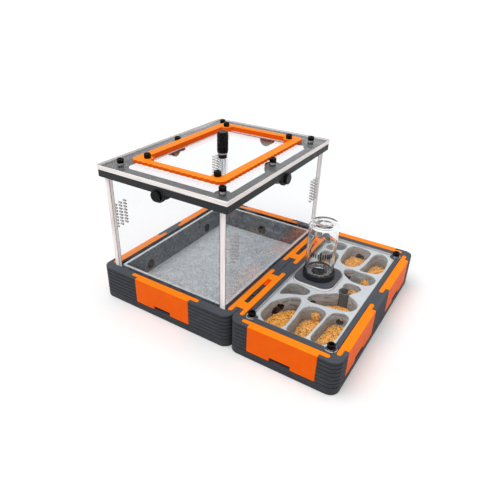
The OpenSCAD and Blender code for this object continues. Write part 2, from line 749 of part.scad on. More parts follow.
module nest_base() {
    color("dimgray") difference() {
        union() {
            translate([nest_x, 0, 0]) ribbed_tray(nest_w, nest_side_rim, nest_end_rim);
            boss_places() translate([0, 0, floor_t/2])
                cylinder(r = boss_r, h = block_top - floor_t/2);
        }
        boss_places() translate([0, 0, block_top])
            cylinder(r = boss_r + nest_fit, h = base_h);
        boss_places() translate([0, 0, base_h - nest_shank_l - over])
            cylinder(r = shank_r + head_fit, h = base_h);
        translate([nest_x, 0, 0]) {
            for (turn = [0, 180]) on_side(nest_w, turn, 0) cover_form(cover_fit, over);
            for (turn = [90, 270], s = [-1, 1])
                on_side(nest_w, turn, s*quarter_d) cover_form(cover_fit, over);
            for (s = [-1, 1]) bore_x(port_r, s*quarter_d, port_z);
            bore_y(port_r, port_z);
        }
    }
}

module chamber_plan(i) { polygon(smooth_loop(in_block(chamber_shares[i]))); }

module nest_block() {
    color("lightgray") translate([nest_x, 0, 0]) difference() {
        translate([0, 0, floor_t]) linear_extrude(block_top - floor_t)
            rounded_rect(block_w, block_d, pocket_r);
        for (sx = [-1, 1], sy = [-1, 1]) translate([sx*boss_x, sy*boss_y, 0])
            cylinder(r = boss_r + nest_fit, h = base_h);
        for (i = [0:len(chamber_shares) - 1])
            translate([0, 0, chamber_z]) linear_extrude(base_h) chamber_plan(i);
        translate([sleeve_x, sleeve_y, chamber_z])
            cylinder(r = sleeve_r + nest_fit, h = base_h);
        translate([plate_x, plate_y, chamber_z]) cylinder(r = well_r, h = base_h);
        for (sx = [-1, 1], sy = [-1, 1])
            translate([sx*(block_w/2 - port_reach), sy*quarter_d, port_z])
                rotate([0, sx*90, 0]) cylinder(r = port_r, h = nest_w);
        for (sy = [-1, 1]) translate([0, sy*(block_d/2 - port_reach), port_z])
            rotate([-sy*90, 0, 0]) cylinder(r = port_r, h = module_d);
        for (p = passage_shares)
            translate([(p[0] - 0.5)*block_w, (p[1] - 0.5)*block_d, passage_z]) rotate(p[2])
                rotate([90, 0, 0]) cylinder(r = passage_r, h = passage_l, center = true);
    }
}

module nest_cover() {
    color("lightcyan", 0.35) difference() {
        translate([0, 0, block_top]) linear_extrude(nest_cover_t) {
            translate([nest_x, 0]) difference() {
                rounded_rect(block_w, block_d, pocket_r);
                translate([plate_x, plate_y])
                    rounded_rect(plate_w + 2*plate_fit, plate_w + 2*plate_fit,
                                 plate_r + plate_fit);
            }
            boss_places() circle(r = boss_r);
        }
        boss_places() translate([0, 0, block_top - over])
            cylinder(r = shank_r + wall_fit, h = nest_cover_t + 2*over);
    }
}

module cover_screws() {
    color("#1c1c1e") boss_places() translate([0, 0, base_h])
        cap_screw(nest_head_r, nest_head_h, nest_shank_l);
}

module nest_substrate() {
    color("sandybrown") translate([nest_x, 0, 0]) difference() {
        union() {
            for (i = [0:len(chamber_shares) - 1]) translate([0, 0, chamber_z])
                linear_extrude(sand_deep*fill_shares[i])
                    polygon(drawn_in(smooth_loop(in_block(chamber_shares[i])), sand_gap));
            for (h = heap_shares) intersection() {
                translate([0, 0, chamber_z + sand_deep*fill_shares[h[0]]/2])
                    linear_extrude(block_top)
                        polygon(drawn_in(smooth_loop(in_block(chamber_shares[h[0]])), sand_gap));
                heap(h[1], h[2], h[3]*block_w, h[4]*block_w, sand_deep*fill_shares[h[0]]);
            }
        }
        translate([sleeve_x, sleeve_y, 0]) cylinder(r = sleeve_r + sand_gap, h = base_h);
    }
}

// Low round heap, the cap of a larger ball
module heap(u, v, half, high, fill) {
    ball = (half*half + high*high)/(2*high);
    translate([(u - 0.5)*block_w, (v - 0.5)*block_d, chamber_z + fill + high - ball])
        sphere(r = ball);
}

module tunnel_sleeve() {
    color("#4a4640") translate([nest_x + sleeve_x, sleeve_y, chamber_z]) difference() {
        cylinder(r = sleeve_r, h = block_top - chamber_z);
        translate([0, 0, -over])
            cylinder(r = sleeve_r - sleeve_wall, h = block_top - chamber_z + 2*over);
        rotate(45) translate([0, -sleeve_slot/2, -over])
            cube([2*sleeve_r, sleeve_slot, block_top - chamber_z + 2*over]);
    }
}

// Humidifier: plate and ring on the nest, felt pad in the well, inverted vial
module on_plate() {
    translate([nest_x + plate_x, plate_y, 0]) children();
}

module humidifier_plate() {
    color("#35373a") on_plate() translate([0, 0, block_top])
        linear_extrude(plate_top - block_top) difference() {
            rounded_rect(plate_w, plate_w, plate_r);
            circle(r = neck_hole_r);
        }
}

module humidifier_ring() {
    cup_r = vial_r + neck_fit;
    bevel = (ring_r - cup_r)/2;
    color("#1c1c1e") on_plate() translate([0, 0, plate_top]) rotate_extrude()
        polygon([[neck_hole_r, 0], [ring_r, 0], [ring_r, ring_h - bevel],
                 [ring_r - bevel, ring_h], [cup_r, ring_h], [cup_r, ring_h - cup_deep],
                 [neck_hole_r, ring_h - cup_deep]]);
}

module humidifier_pad() {
    color("ivory") on_plate() translate([0, 0, chamber_z])
        cylinder(r = well_r - sand_gap, h = plug_z - pad_gap - chamber_z);
}

module vial() {
    mid_r = vial_r - shoulder_r;
    low = shoulder_z + shoulder_r;
    high = shoulder_z + vial_body_l - shoulder_r;
    bore_r = neck_r - glass_t;
    color("aliceblue", 0.35) on_plate() rotate_extrude() polygon(concat(
        [[bore_r, neck_z], [neck_r + lip_out, neck_z], [neck_r + lip_out, neck_z + lip_h],
         [neck_r, neck_z + lip_h], [neck_r, shoulder_z]],
        arc(mid_r, low, shoulder_r, -90, 0), arc(mid_r, high, shoulder_r, 0, 90),
        [[0, high + shoulder_r], [0, high + shoulder_r - glass_t]],
        arc(mid_r, high, shoulder_r - glass_t, 90, 0),
        arc(mid_r, low, shoulder_r - glass_t, 0, -90),
        [[bore_r, shoulder_z + glass_t]]));
}

module vial_stopper() {
    color("#1c1c1e") on_plate() translate([0, 0, plug_z]) {
        cylinder(r = neck_r, h = plug_flange_h);
        cylinder(r = neck_r - glass_t - shank_fit, h = plug_flange_h + plug_h);
    }
}

// Links over the seam, each with a gate that slides along it
module on_link(s) {
    translate([seam_x, s*quarter_d, 0]) children();
}

module link(s) {
    web_t = 2*cover_t + seam_gap;
    slot_w = head_w + 2*head_fit;
    blade_slot = blade_t + gate_fit;
    color("darkorange") on_link(s) difference() {
        union() {
            translate([-seam_gap/2, 0, 0]) rotate(90) cover_form(0, 0);
            translate([seam_gap/2, 0, 0]) rotate(-90) cover_form(0, 0);
            translate([-seam_gap/2 - cover_t/2, -cover_w/2, cover_z])
                cube([seam_gap + cover_t, cover_w, base_h - cover_z]);
        }
        translate([0, 0, port_z]) rotate([0, 90, 0])
            cylinder(r = port_r, h = web_t + 2*over, center = true);
        translate([-slot_w/2, -gate_slot_l/2, base_h - head_t])
            cube([slot_w, gate_slot_l, head_t + over]);
        translate([-blade_slot/2, -gate_slot_l/2, blade_z - gate_fit])
            cube([blade_slot, gate_slot_l, base_h]);
    }
}

module gate(s) {
    bump_h = head_t/4;
    mark_w = head_w/4;
    color("#1c1c1e") on_link(s) translate([0, slider_rest, 0]) difference() {
        union() {
            translate([-head_w/2, -slider_l/2, base_h - head_t])
                cube([head_w, slider_l, head_t]);
            translate([-head_w/2, -slider_l/6, base_h - head_t])
                cube([head_w, slider_l/3, head_t + bump_h]);
            translate([-blade_t/2, -slider_l/2, blade_z])
                cube([blade_t, slider_l, base_h - head_t/2 - blade_z]);
        }
        for (t = [-1, 1]) translate([-head_w, t*slider_l/6 - mark_w/2, base_h - bump_h])
            cube([2*head_w, mark_w, head_t]);
        translate([0, -slider_rest - slider_travel, port_z]) rotate([0, 90, 0])
            cylinder(r = port_r, h = 2*head_w, center = true);
    }
}

module link_front() { link(-1); }

module link_back() { link(1); }

module gate_front() { gate(-1); }

module gate_back() { gate(1); }

// Side covers of both modules
module on_arena(turn, along) {
    translate([arena_x, 0, 0]) on_side(arena_w, turn, along) side_cover();
}

module on_nest(turn, along) {
    translate([nest_x, 0, 0]) on_side(nest_w, turn, along) side_cover();
}

module arena_front_cover() { on_arena(0, 0); }

module arena_back_cover() { on_arena(180, 0); }

module arena_left_cover_front() { on_arena(270, quarter_d); }

module arena_left_cover_back() { on_arena(270, -quarter_d); }

module nest_front_cover() { on_nest(0, 0); }

module nest_back_cover() { on_nest(180, 0); }

module nest_right_cover_front() { on_nest(90, -quarter_d); }

module nest_right_cover_back() { on_nest(90, quarter_d); }

arena_base();
arena_basin();
front_wall();
back_wall();
left_wall();
right_wall();
top_collar();
knob_front();
knob_back();
knob_left();
knob_right();
lid_plate();
lid_screws();
hatch_frame();
hatch_pane();
hatch_screws();
feeder_cap();
feeder_tube();
arena_front_cover();
arena_back_cover();
arena_left_cover_front();
arena_left_cover_back();
nest_base();
nest_block();
nest_cover();
cover_screws();
nest_substrate();
tunnel_sleeve();
humidifier_plate();
humidifier_ring();
humidifier_pad();
vial();
vial_stopper();
nest_front_cover();
nest_back_cover();
nest_right_cover_front();
nest_right_cover_back();
link_front();
link_back();
gate_front();
gate_back();
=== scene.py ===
"""Looks of the two-module ant farm: finishes, loose substrate, fasteners, glass, stage and camera."""

import json
import math

import bmesh
import bpy
from bpy.props import FloatProperty, FloatVectorProperty, IntProperty, PointerProperty
from bpy.types import Operator, Panel, PropertyGroup
from mathutils import Matrix, Vector, noise

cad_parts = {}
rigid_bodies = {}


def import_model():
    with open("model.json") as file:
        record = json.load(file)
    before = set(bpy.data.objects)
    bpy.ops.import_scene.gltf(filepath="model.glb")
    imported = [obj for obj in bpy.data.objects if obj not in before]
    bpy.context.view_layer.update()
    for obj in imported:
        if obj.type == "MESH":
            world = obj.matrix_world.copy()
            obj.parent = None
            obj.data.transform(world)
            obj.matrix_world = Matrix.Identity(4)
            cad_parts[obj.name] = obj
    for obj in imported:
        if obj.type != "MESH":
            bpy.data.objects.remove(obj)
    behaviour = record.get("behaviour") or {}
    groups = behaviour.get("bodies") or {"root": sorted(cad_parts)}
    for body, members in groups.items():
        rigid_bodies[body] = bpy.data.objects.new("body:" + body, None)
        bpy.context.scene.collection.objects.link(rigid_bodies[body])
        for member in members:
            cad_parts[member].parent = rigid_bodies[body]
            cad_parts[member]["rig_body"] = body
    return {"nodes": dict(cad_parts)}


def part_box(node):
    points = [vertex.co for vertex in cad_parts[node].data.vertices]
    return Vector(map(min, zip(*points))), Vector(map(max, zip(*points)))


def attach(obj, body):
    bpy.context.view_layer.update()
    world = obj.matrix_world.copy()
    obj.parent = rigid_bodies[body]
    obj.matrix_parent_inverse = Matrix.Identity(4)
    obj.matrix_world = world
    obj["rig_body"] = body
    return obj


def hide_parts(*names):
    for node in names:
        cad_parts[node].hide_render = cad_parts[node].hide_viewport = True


bl_info = {
    "name": "Ant farm looks",
    "version": (1, 0, 0),
    "blender": (4, 5, 0),
    "location": "3D View > Sidebar > Ant farm",
    "description": "Dresses the packed ant farm with its finishes and fine pieces",
    "category": "Object",
}

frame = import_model()
NODES = frame["nodes"]
MM = 0.001
TAU = 2 * math.pi
QUARTER = math.pi / 2

# Places that the solids give no box for
PORT_Z = 13.5 * MM
PORT_ASIDE = 40 * MM
PORT_R = 4 * MM
PASSAGE_Z = 16 * MM
BASIN_FLOOR = 8 * MM
WALLS = ("front_wall", "back_wall", "left_wall", "right_wall")


def linear(red, green, blue):
    """Colour written as 0 to 255 screen values, as the linear colour that shaders take."""
    return [((c / 255 + 0.055) / 1.055) ** 2.4 if c > 10.3 else c / 3294.6 for c in (red, green, blue)]


def colour(name, text, red, green, blue):
    """Colour property of a finish."""
    return FloatVectorProperty(
        name=name, description=text, subtype="COLOR", size=3, min=0, max=1, default=linear(red, green, blue)
    )


def length(name, text, default, low=0.0, high=1.0):
    """Length property in metres."""
    return FloatProperty(name=name, description=text, unit="LENGTH", default=default, min=low, max=high)


class AntFarmColours(PropertyGroup):
    """Colours of the finishes."""

    # Painted light: the bases' level faces are painted lighter than their upright faces, as lit tops
    base: colour("Bases", "Upright faces of the ribbed bases", 60, 62, 67)
    base_lit_top: colour("Base tops", "Level faces of the ribbed bases", 76, 80, 86)
    # Painted light: the orange's level faces are painted lighter and yellower than its upright faces, as lit
    # tops
    orange: colour("Covers", "Upright faces of the orange plastic", 255, 98, 8)
    orange_lit_top: colour("Cover tops", "Level faces of the orange plastic", 255, 138, 24)
    plaster: colour("Basin", "Floor of the cast basin", 222, 228, 232)
    # Painted shade: the basin's upright walls are painted much darker than its floor
    plaster_wall_shade: colour("Basin walls", "Upright faces of the cast basin", 128, 134, 140)
    nest: colour("Nest", "Chamber block", 212, 214, 217)
    chamber: colour("Chamber walls", "Rippled walls of the chambers", 200, 202, 204)
    # Painted shade: the walls of the ports and passages are painted near black
    bore: colour("Passages", "Walls of the ports and passages", 44, 40, 37)
    frame_black: colour("Collar", "Top collar and its lugs", 44, 47, 50)
    black: colour("Fasteners", "Screws, knobs and gates", 12, 12, 13)
    plate: colour("Humidifier plate", "Soft-touch plate", 74, 77, 83)
    grain: colour("Substrate", "Loose grains", 255, 186, 88)
    grain_dark: colour("Dark grains", "Darkest grains", 118, 54, 14)
    sleeve: colour("Sleeve", "Upright tunnel sleeve", 84, 79, 75)
    felt: colour("Felt", "Pad under the vial", 206, 198, 180)


class AntFarmSizes(PropertyGroup):
    """Sizes of the fine pieces."""

    eased: length("Eased edge", "Round on the moulded edges", 0.3 * MM, 0.05 * MM, 0.6 * MM)
    polished: length("Polished edge", "Chamfer on the clear sheets", 0.55 * MM, 0.05 * MM, 0.6 * MM)
    grain: length("Grain", "Width of a substrate grain", 1.6 * MM, 0.6 * MM, 2.5 * MM)
    per_area: FloatProperty(
        name="Grains", description="Grains on a square millimetre", default=1.2, min=0.1, max=3
    )
    ripple: length("Ripple", "Depth of the chamber walls' ripples", 0.6 * MM, 0.0, 0.9 * MM)
    rim: length("Chamber rim", "Round at the chambers' rims", 0.7 * MM, 0.2 * MM, 1.2 * MM)
    teeth: IntProperty(
        name="Screw teeth", description="Teeth round a screw head", default=22, min=12, max=40
    )
    relief: length("Basin relief", "Height of the cast floor's relief", 0.5 * MM, 0.0, 0.8 * MM)


class AntFarmStage(PropertyGroup):
    """Light and camera."""

    key: FloatProperty(
        name="Key light", description="Strength of the soft overhead light", default=2.3, min=0
    )
    spread: FloatProperty(
        name="Softness", description="Apparent size of the overhead light", subtype="ANGLE", default=1.15
    )
    fill: FloatProperty(name="Fill", description="Strength of the light from all round", default=0.42, min=0)
    floor: colour("Floor", "Pale floor", 250, 250, 250)
    floor_cast: colour("Floor's cast", "Light that the floor throws back up", 205, 200, 196)
    lens: length("Lens", "Focal length for a 36 mm wide sensor", 33.974, 10, 200)
    shift: FloatProperty(name="Shift", description="Sideways shift of the lens", default=0.0346)
    roll: FloatProperty(
        name="Roll", description="Turn of the camera about its view", subtype="ANGLE",
        default=math.radians(0.9865),
    )
    eye: FloatVectorProperty(
        name="Eye", description="Place of the camera", subtype="XYZ", unit="LENGTH",
        default=(0.156245, -0.288306, 0.225035),
    )
    target: FloatVectorProperty(
        name="Target", description="Point that the camera looks at", subtype="XYZ", unit="LENGTH",
        default=(-0.02486, -0.00663, 0.03),
    )


def tints():
    """The colours in use."""
    return bpy.context.scene.ant_farm_colours


def sizes():
    """The sizes in use."""
    return bpy.context.scene.ant_farm_sizes


def rgba(tone):
    """A colour with full alpha."""
    return list(tone)[:3] + [1.0]


def scaled(tone, factor):
    """A colour made lighter or darker."""
    return [min(1.0, c * factor) for c in tone]


def end(source):
    """A socket as given, or a node's first output."""
    return source.outputs[0] if isinstance(source, bpy.types.Node) else source


class Net:
    """Builder for a node tree."""

    def __init__(self, tree):
        self.tree = tree
        tree.nodes.clear()

    def join(self, value, target, into):
        """Links a node or a socket to an input, or gives the input a plain value."""
        if isinstance(value, (bpy.types.Node, bpy.types.NodeSocket)):
            self.tree.links.new(end(value), target.inputs[into])
        else:
            target.inputs[into].default_value = value

    def add(self, kind, *values, **settings):
        """New node. Values go to its first inputs, capital settings to the inputs of that name."""
        made = self.tree.nodes.new(kind)
        into = dict(enumerate(values))
        for key, value in settings.items():
            if key[0].isupper():
                into[key.replace("_", " ")] = value
            else:
                setattr(made, key, value)
        for key, value in into.items():
            self.join(value, made, key)
        return made


class Finish(Net):
    """One procedural finish, built node by node."""

    def __init__(self, name):
        self.material = bpy.data.materials.new(name)
        self.material.use_nodes = True
        super().__init__(self.material.node_tree)
        self.shader = self.add("ShaderNodeBsdfPrincipled", Specular_IOR_Level=0.2)
        self.output = self.add("ShaderNodeOutputMaterial", Surface=self.shader)
        self.place = self.add("ShaderNodeTexCoord").outputs["Object"]
        self.height = None

    def plain(self, **values):
        """Fixed numbers on the shader's own sockets."""
        for key, value in values.items():
            self.shader.inputs[key.replace("_", " ")].default_value = value
        return self

    def glow(self, tone, strength):
        """Faint light of its own, which stands for light scattered inside."""
        return self.plain(Emission_Color=rgba(tone), Emission_Strength=strength)

    def pattern(self, kind, across, stretch=(1, 1, 1), **settings):
        """Texture with features about that many millimetres across."""
        lie = self.add("ShaderNodeMapping", self.place, Scale=[s / (across * MM) for s in stretch])
        return self.add(kind, lie, Scale=1.0, **settings)

    def noise(self, across, detail=3.0, rough=0.55, stretch=(1, 1, 1), wander=0.0):
        """Noise whose features are about that many millimetres across."""
        return self.pattern("ShaderNodeTexNoise", across, stretch, Detail=detail, Roughness=rough,
                            Distortion=wander)

    def cells(self, across):
        """Cells about that many millimetres across."""
        return self.pattern("ShaderNodeTexVoronoi", across)

    def ramp(self, source, *stops):
        """Colours along a value from 0 to 1. Each stop is a place and a colour or a grey."""
        made = self.add("ShaderNodeValToRGB", source)
        band = made.color_ramp.elements
        while len(band) < len(stops):
            band.new(0.5)
        for element, (where, tone) in zip(band, stops):
            element.position = where
            element.color = rgba([tone] * 3 if isinstance(tone, (int, float)) else tone)
        return made

    def between(self, source, low, high, start=0.0, stop=1.0):
        """A value from start to stop spread from low to high."""
        return self.add("ShaderNodeMapRange", source, start, stop, low, high)

    def mixed(self, factor, first, second, how="MIX"):
        """Mix of two colours by a factor, each of them linked or plain."""
        made = self.add("ShaderNodeMix", factor, data_type="RGBA", blend_type=how)
        self.join(first, made, 6)
        self.join(second, made, 7)
        return made.outputs[2]

    def times(self, first, second, share):
        """Colour darkened by a share of another."""
        return self.mixed(share, first, second, "MULTIPLY")

    def raised(self, source, high, strength=1.0):
        """Adds relief of that many millimetres to the finish."""
        made = self.add("ShaderNodeBump", Strength=strength, Distance=high * MM, Height=source)
        if self.height:
            self.join(self.height, made, "Normal")
        self.height = made
        self.join(made, self.shader, "Normal")

    def worn(self, base, tone, amount):
        """Colour with its outer edges rubbed towards another tone."""
        shape = self.add("ShaderNodeNewGeometry")
        edge = self.between(shape.outputs["Pointiness"], 0.0, amount, 0.505, 0.58)
        broken = self.between(self.noise(6.0, 4.0), 0.35, 1.0, 0.35, 0.65)
        rubbed = self.add("ShaderNodeMath", edge, broken, operation="MULTIPLY")
        return self.mixed(rubbed, base, rgba(tone))

    def upward(self, source, low, high, start, stop):
        """A value from low to high over a range of a vector's Z."""
        split = self.add("ShaderNodeSeparateXYZ", source)
        return self.between(split.outputs["Z"], low, high, start, stop)

    def facing_up(self, start, stop):
        """A value that grows from 0 on upright faces to 1 on level ones."""
        normal = self.add("ShaderNodeNewGeometry").outputs["Normal"]
        return self.upward(normal, 0.0, 1.0, start, stop)

    def paint(self, colour_source):
        """Sends a colour to the shader."""
        self.join(colour_source, self.shader, "Base Color")

    def rough(self, source, low, high, start=0.0, stop=1.0):
        """Roughness from low to high along a value."""
        self.join(self.between(source, low, high, start, stop), self.shader, "Roughness")

    def skin(self, pattern, low, high, *stops):
        """Colour and roughness that follow one pattern."""
        self.paint(self.ramp(pattern, *stops))
        self.rough(pattern, low, high)
        return self

    def lets_light_by(self, tint=(1, 1, 1)):
        """Lets lamps' light through clear material, so that what stands behind it is lit."""
        path = self.add("ShaderNodeLightPath").outputs
        either = self.add("ShaderNodeMath", path["Is Shadow Ray"], path["Is Diffuse Ray"],
                          operation="MAXIMUM")
        clear = self.add("ShaderNodeBsdfTransparent", Color=rgba(tint))
        self.join(self.add("ShaderNodeMixShader", either, self.shader, clear), self.output, "Surface")
        return self


MADE = {}


def kept(build):
    """Builds each finish once, and gives its material."""

    def give():
        if build.__name__ not in MADE:
            MADE[build.__name__] = build().material
        return MADE[build.__name__]

    return give


def moulded(name, tone, rough, pore, pore_high, wear, streak=0.0, crown=None):
    """Moulded plastic: faint cloudiness, a fine pored skin and rubbed edges; a crown colour paints its level
    faces lighter as lit tops.
    """
    f = Finish(name)
    clouds = f.noise(9.0, 5.0, 0.6)
    base = f.ramp(clouds, (0.3, scaled(tone, 0.9)), (0.5, tone), (0.72, scaled(tone, 1.08)))
    # Painted light: level faces take the lighter crown colour, as lit tops
    if crown:
        level = f.ramp(clouds, (0.3, scaled(crown, 0.93)), (0.6, crown))
        base = f.mixed(f.facing_up(0.5, 0.95), base, level)
    fine = f.times(base, f.ramp(f.noise(0.5, 2.0), (0.35, 0.85), (0.62, 1.0)), 0.4)
    f.paint(f.worn(fine, scaled(crown or tone, 1.7), wear))
    f.rough(f.noise(4.0, 4.0), rough - 0.07, rough + 0.08, 0.3, 0.7)
    f.raised(f.noise(pore, 2.0), pore_high)
    if streak:
        f.raised(f.noise(1.2, 3.0, 0.5, (0.15, 0.15, 3.0)), streak)
    return f


@kept
def base_plastic():
    """Charcoal plastic of the ribbed bases, with its level faces painted lighter as lit tops."""
    f = moulded("ribbed_charcoal", tints().base, 0.55, 0.35, 0.05, 0.3, crown=tints().base_lit_top)
    return f.plain(Specular_IOR_Level=0.12)


@kept
def orange_plastic():
    """Orange plastic of the covers, links and hatch, with its level faces painted lighter as lit tops and a
    faint painted glow.
    """
    f = moulded("satin_orange", tints().orange, 0.45, 0.5, 0.03, 0.15, 0.015, tints().orange_lit_top)
    # Painted glow: faint orange emission
    return f.plain(Specular_IOR_Level=0.07).glow(tints().orange, 0.1)


@kept
def collar_plastic():
    """Dark plastic of the top collar, the ring and the gates."""
    return moulded("collar_charcoal", tints().frame_black, 0.48, 0.4, 0.04, 0.3)


@kept
def plate_rubber():
    """Soft-touch plastic of the humidifier plate."""
    f = moulded("soft_touch_plate", tints().plate, 0.62, 0.25, 0.03, 0.35)
    return f.plain(Sheen_Weight=0.08, Sheen_Roughness=0.5)


@kept
def black_plastic():
    """Black of the screws, the knobs, the feeder cap, and the painted shadow in the clear walls' seat."""
    f = moulded("fastener_black", tints().black, 0.3, 0.3, 0.02, 0.5)
    return f.plain(Specular_IOR_Level=0.12)


@kept
def sleeve_plastic():
    """Warm dark grey of the tunnel sleeve."""
    return moulded("sleeve_warm_grey", tints().sleeve, 0.5, 0.4, 0.05, 0.3, 0.04)


@kept
def stopper_rubber():
    """Black rubber of the vial's stopper."""
    return moulded("stopper_rubber", linear(24, 24, 25), 0.45, 0.3, 0.04, 0.2)


@kept
def cast_plaster():
    """Cast cement of the basin: mottled, pitted and finely cracked, with painted shade on its walls and a
    painted highlight along its rim's top.
    """
    tone = tints().plaster
    wall = tints().plaster_wall_shade
    f = Finish("cast_cement")
    clouds = f.noise(7.0, 6.0, 0.65, wander=0.8)
    pale = f.ramp(clouds, (0.3, scaled(tone, 0.84)), (0.5, tone), (0.7, scaled(tone, 1.1)))
    blots = f.noise(3.6, 6.0, 0.72, wander=1.2)
    dark = f.ramp(blots, (0.36, scaled(wall, 0.55)), (0.5, wall), (0.64, scaled(wall, 1.5)))
    # Painted shade: upright faces take the dark wall colour, level faces the pale floor colour
    base = f.mixed(f.facing_up(0.35, 0.8), dark, pale)
    fine = f.noise(0.9, 5.0, 0.75)
    speck = f.ramp(fine, (0.38, 0.4), (0.47, 0.9), (0.6, 1.0))
    patch = f.ramp(f.noise(2.6, 4.0, 0.7), (0.38, 0.72), (0.52, 1.0))
    line = f.ramp(f.noise(11.0, 5.0, 0.68, wander=3.0), (0.49, 1.0), (0.5, 0.25), (0.51, 1.0))
    cracked = f.times(f.times(f.times(base, patch, 0.7), speck, 0.85), line, 0.8)
    # Painted highlight: a near-white band at the height of the rim's top
    lip = f.upward(f.place, 0.0, 0.45, 26.15 * MM, 26.35 * MM)
    f.paint(f.mixed(lip, cracked, rgba(linear(240, 241, 243))))
    f.rough(fine, 0.75, 0.95, 0.3, 0.7)
    f.raised(f.noise(3.4, 6.0, 0.7), 0.9)
    f.raised(line, 0.25)
    f.raised(f.cells(1.5), 0.35)
    f.raised(fine, 0.15)
    return f.plain(Specular_IOR_Level=0.12)


@kept
def nest_cast():
    """Pale top of the chamber block, with its walls in warm rippled layers; the layers' light and dark bands
    also paint the ripples' highlights and shade, and painted shade darkens the walls towards the floor.
    """
    top = tints().nest
    wall = tints().chamber
    f = Finish("layered_nest_cast")
    pale = f.ramp(f.noise(14.0, 6.0, 0.6), (0.3, scaled(top, 0.93)), (0.7, scaled(top, 1.05)))
    layers = f.noise(4.2, 6.0, 0.62, (0.4, 0.4, 2.0), 1.6)
    # Partly layered tone, partly painted highlight and shade of the ripples, following the relief's own
    # noise
    strata_and_ripple_shading = f.ramp(layers, (0.36, scaled(wall, 0.45)), (0.45, scaled(wall, 0.85)),
                    (0.51, scaled(wall, 1.25)), (0.56, scaled(wall, 0.7)), (0.64, scaled(wall, 1.1)))
    # Painted shade: the walls darken towards the chamber floors
    deep = f.upward(f.place, 0.0, 1.0, 7 * MM, 22 * MM)
    walls = f.times(strata_and_ripple_shading, f.ramp(deep, (0.0, linear(150, 141, 132)), (1.0, 1.0)), 1.0)
    f.paint(f.mixed(f.facing_up(0.5, 0.9), walls, pale))
    fine = f.noise(0.6, 3.0)
    f.rough(fine, 0.38, 0.62, 0.3, 0.7)
    f.raised(layers, 1.1, 0.9)
    f.raised(fine, 0.03)
    return f


@kept
def bore_painted_shade():
    """Painted shade: dark, rough walls of the ports and passages."""
    f = Finish("rough_bore")
    rough = f.noise(1.4, 5.0, 0.65)
    f.skin(rough, 0.7, 0.95, (0.3, scaled(tints().bore, 0.6)), (0.7, scaled(tints().bore, 1.2)))
    f.raised(rough, 0.3)
    return f


@kept
def bed_soil():
    """Packed substrate under the loose grains."""
    grain = tints().grain
    f = Finish("packed_substrate")
    grit = f.cells(1.1)
    tone = f.ramp(grit, (0.15, grain), (0.55, scaled(grain, 0.75)), (0.9, tints().grain_dark))
    f.paint(f.times(tone, f.ramp(f.noise(5.0, 5.0), (0.35, 0.7), (0.6, 1.0)), 0.6))
    f.rough(grit, 0.75, 0.95)
    f.raised(grit, 0.5)
    # Painted glow: faint orange emission
    return f.glow(grain, 0.1)


@kept
def loose_grain():
    """Grains of substrate, each with its own shade."""
    grain = tints().grain
    f = Finish("loose_grains")
    own = f.add("ShaderNodeAttribute", attribute_type="GEOMETRY", attribute_name="shade")
    tone = f.ramp(own.outputs["Fac"], (0.0, tints().grain_dark), (0.15, scaled(grain, 0.25)),
                  (0.3, scaled(grain, 0.85)), (0.6, grain), (1.0, linear(255, 214, 140)))
    fine = f.noise(0.3, 3.0)
    f.paint(f.times(tone, f.ramp(fine, (0.35, 0.75), (0.6, 1.0)), 0.5))
    f.rough(fine, 0.55, 0.85)
    f.raised(fine, 0.06)
    # Painted glow: faint orange emission
    return f.glow(grain, 0.1)


@kept
def felt_pad():
    """Felt of the humidifier pad."""
    f = Finish("felt")
    hair = f.noise(0.5, 6.0, 0.7, (1, 1, 0.3), 1.5)
    f.skin(hair, 0.85, 1.0, (0.3, scaled(tints().felt, 0.6)), (0.6, tints().felt))
    f.raised(hair, 0.3)
    return f.plain(Sheen_Weight=0.3)


def clear_finish(name, tone, ior, shine, smear):
    """Clear sheet or glass with faint smears."""
    f = Finish(name)
    haze = f.noise(14.0, 5.0, 0.6, wander=1.0)
    f.paint(f.ramp(haze, (0.3, tone), (0.7, scaled(tone, 1.01))))
    f.rough(haze, 0.0, smear, 0.45, 0.75)
    f.raised(f.noise(22.0, 2.0), 0.02, 0.5)
    f.plain(Transmission_Weight=1.0, IOR=ior, Specular_IOR_Level=shine)
    return f.lets_light_by((0.97, 0.975, 0.98))


@kept
def clear_sheet():
    """Cast acrylic of the walls, lid and pane."""
    return clear_finish("clear_acrylic", linear(250, 251, 252), 1.22, 0.3, 0.02)


@kept
def nest_sheet():
    """Clear cover over the nest."""
    return clear_finish("clear_nest_cover", linear(250, 252, 252), 1.16, 0.3, 0.02)


@kept
def vial_glass():
    """Clear glass of the vial."""
    return clear_finish("vial_glass", linear(250, 252, 252), 1.5, 0.5, 0.015)


@kept
def tube_clear():
    """Clear ribbed feeder tube."""
    return clear_finish("feeder_clear", linear(244, 246, 247), 1.45, 0.5, 0.08)


def lit_edge_finish(name, stretch):
    """Sawn and polished edge of a clear sheet, streaked along its length, painted pale with a faint painted
    glow as the light that the edge gathers.
    """
    f = Finish(name)
    saw = f.noise(1.6, 4.0, 0.6, stretch)
    f.skin(saw, 0.2, 0.4, (0.3, linear(196, 186, 186)), (0.46, linear(244, 238, 237)),
           (0.7, linear(255, 253, 252)))
    f.raised(saw, 0.05)
    # Painted glow: faint emission on the edges
    return f.glow((1.0, 0.97, 0.96), 0.18).lets_light_by()


@kept
def upright_lit_edge():
    """Ends of the walls, painted as lit edges."""
    return lit_edge_finish("wall_edge", (1.6, 1.6, 0.06))


@kept
def level_lit_edge():
    """Rims of the lid, the pane and the nest's cover, painted as lit edges."""
    return lit_edge_finish("lid_edge", (0.08, 0.08, 1.6))


@kept
def chamfer_painted_shade():
    """Chamfers of the clear sheets, painted grey as the shade that outlines them."""
    f = Finish("edge_outline")
    f.skin(f.noise(3.0, 4.0), 0.3, 0.6, (0.3, linear(104, 97, 97)), (0.7, linear(160, 152, 150)))
    return f.lets_light_by()


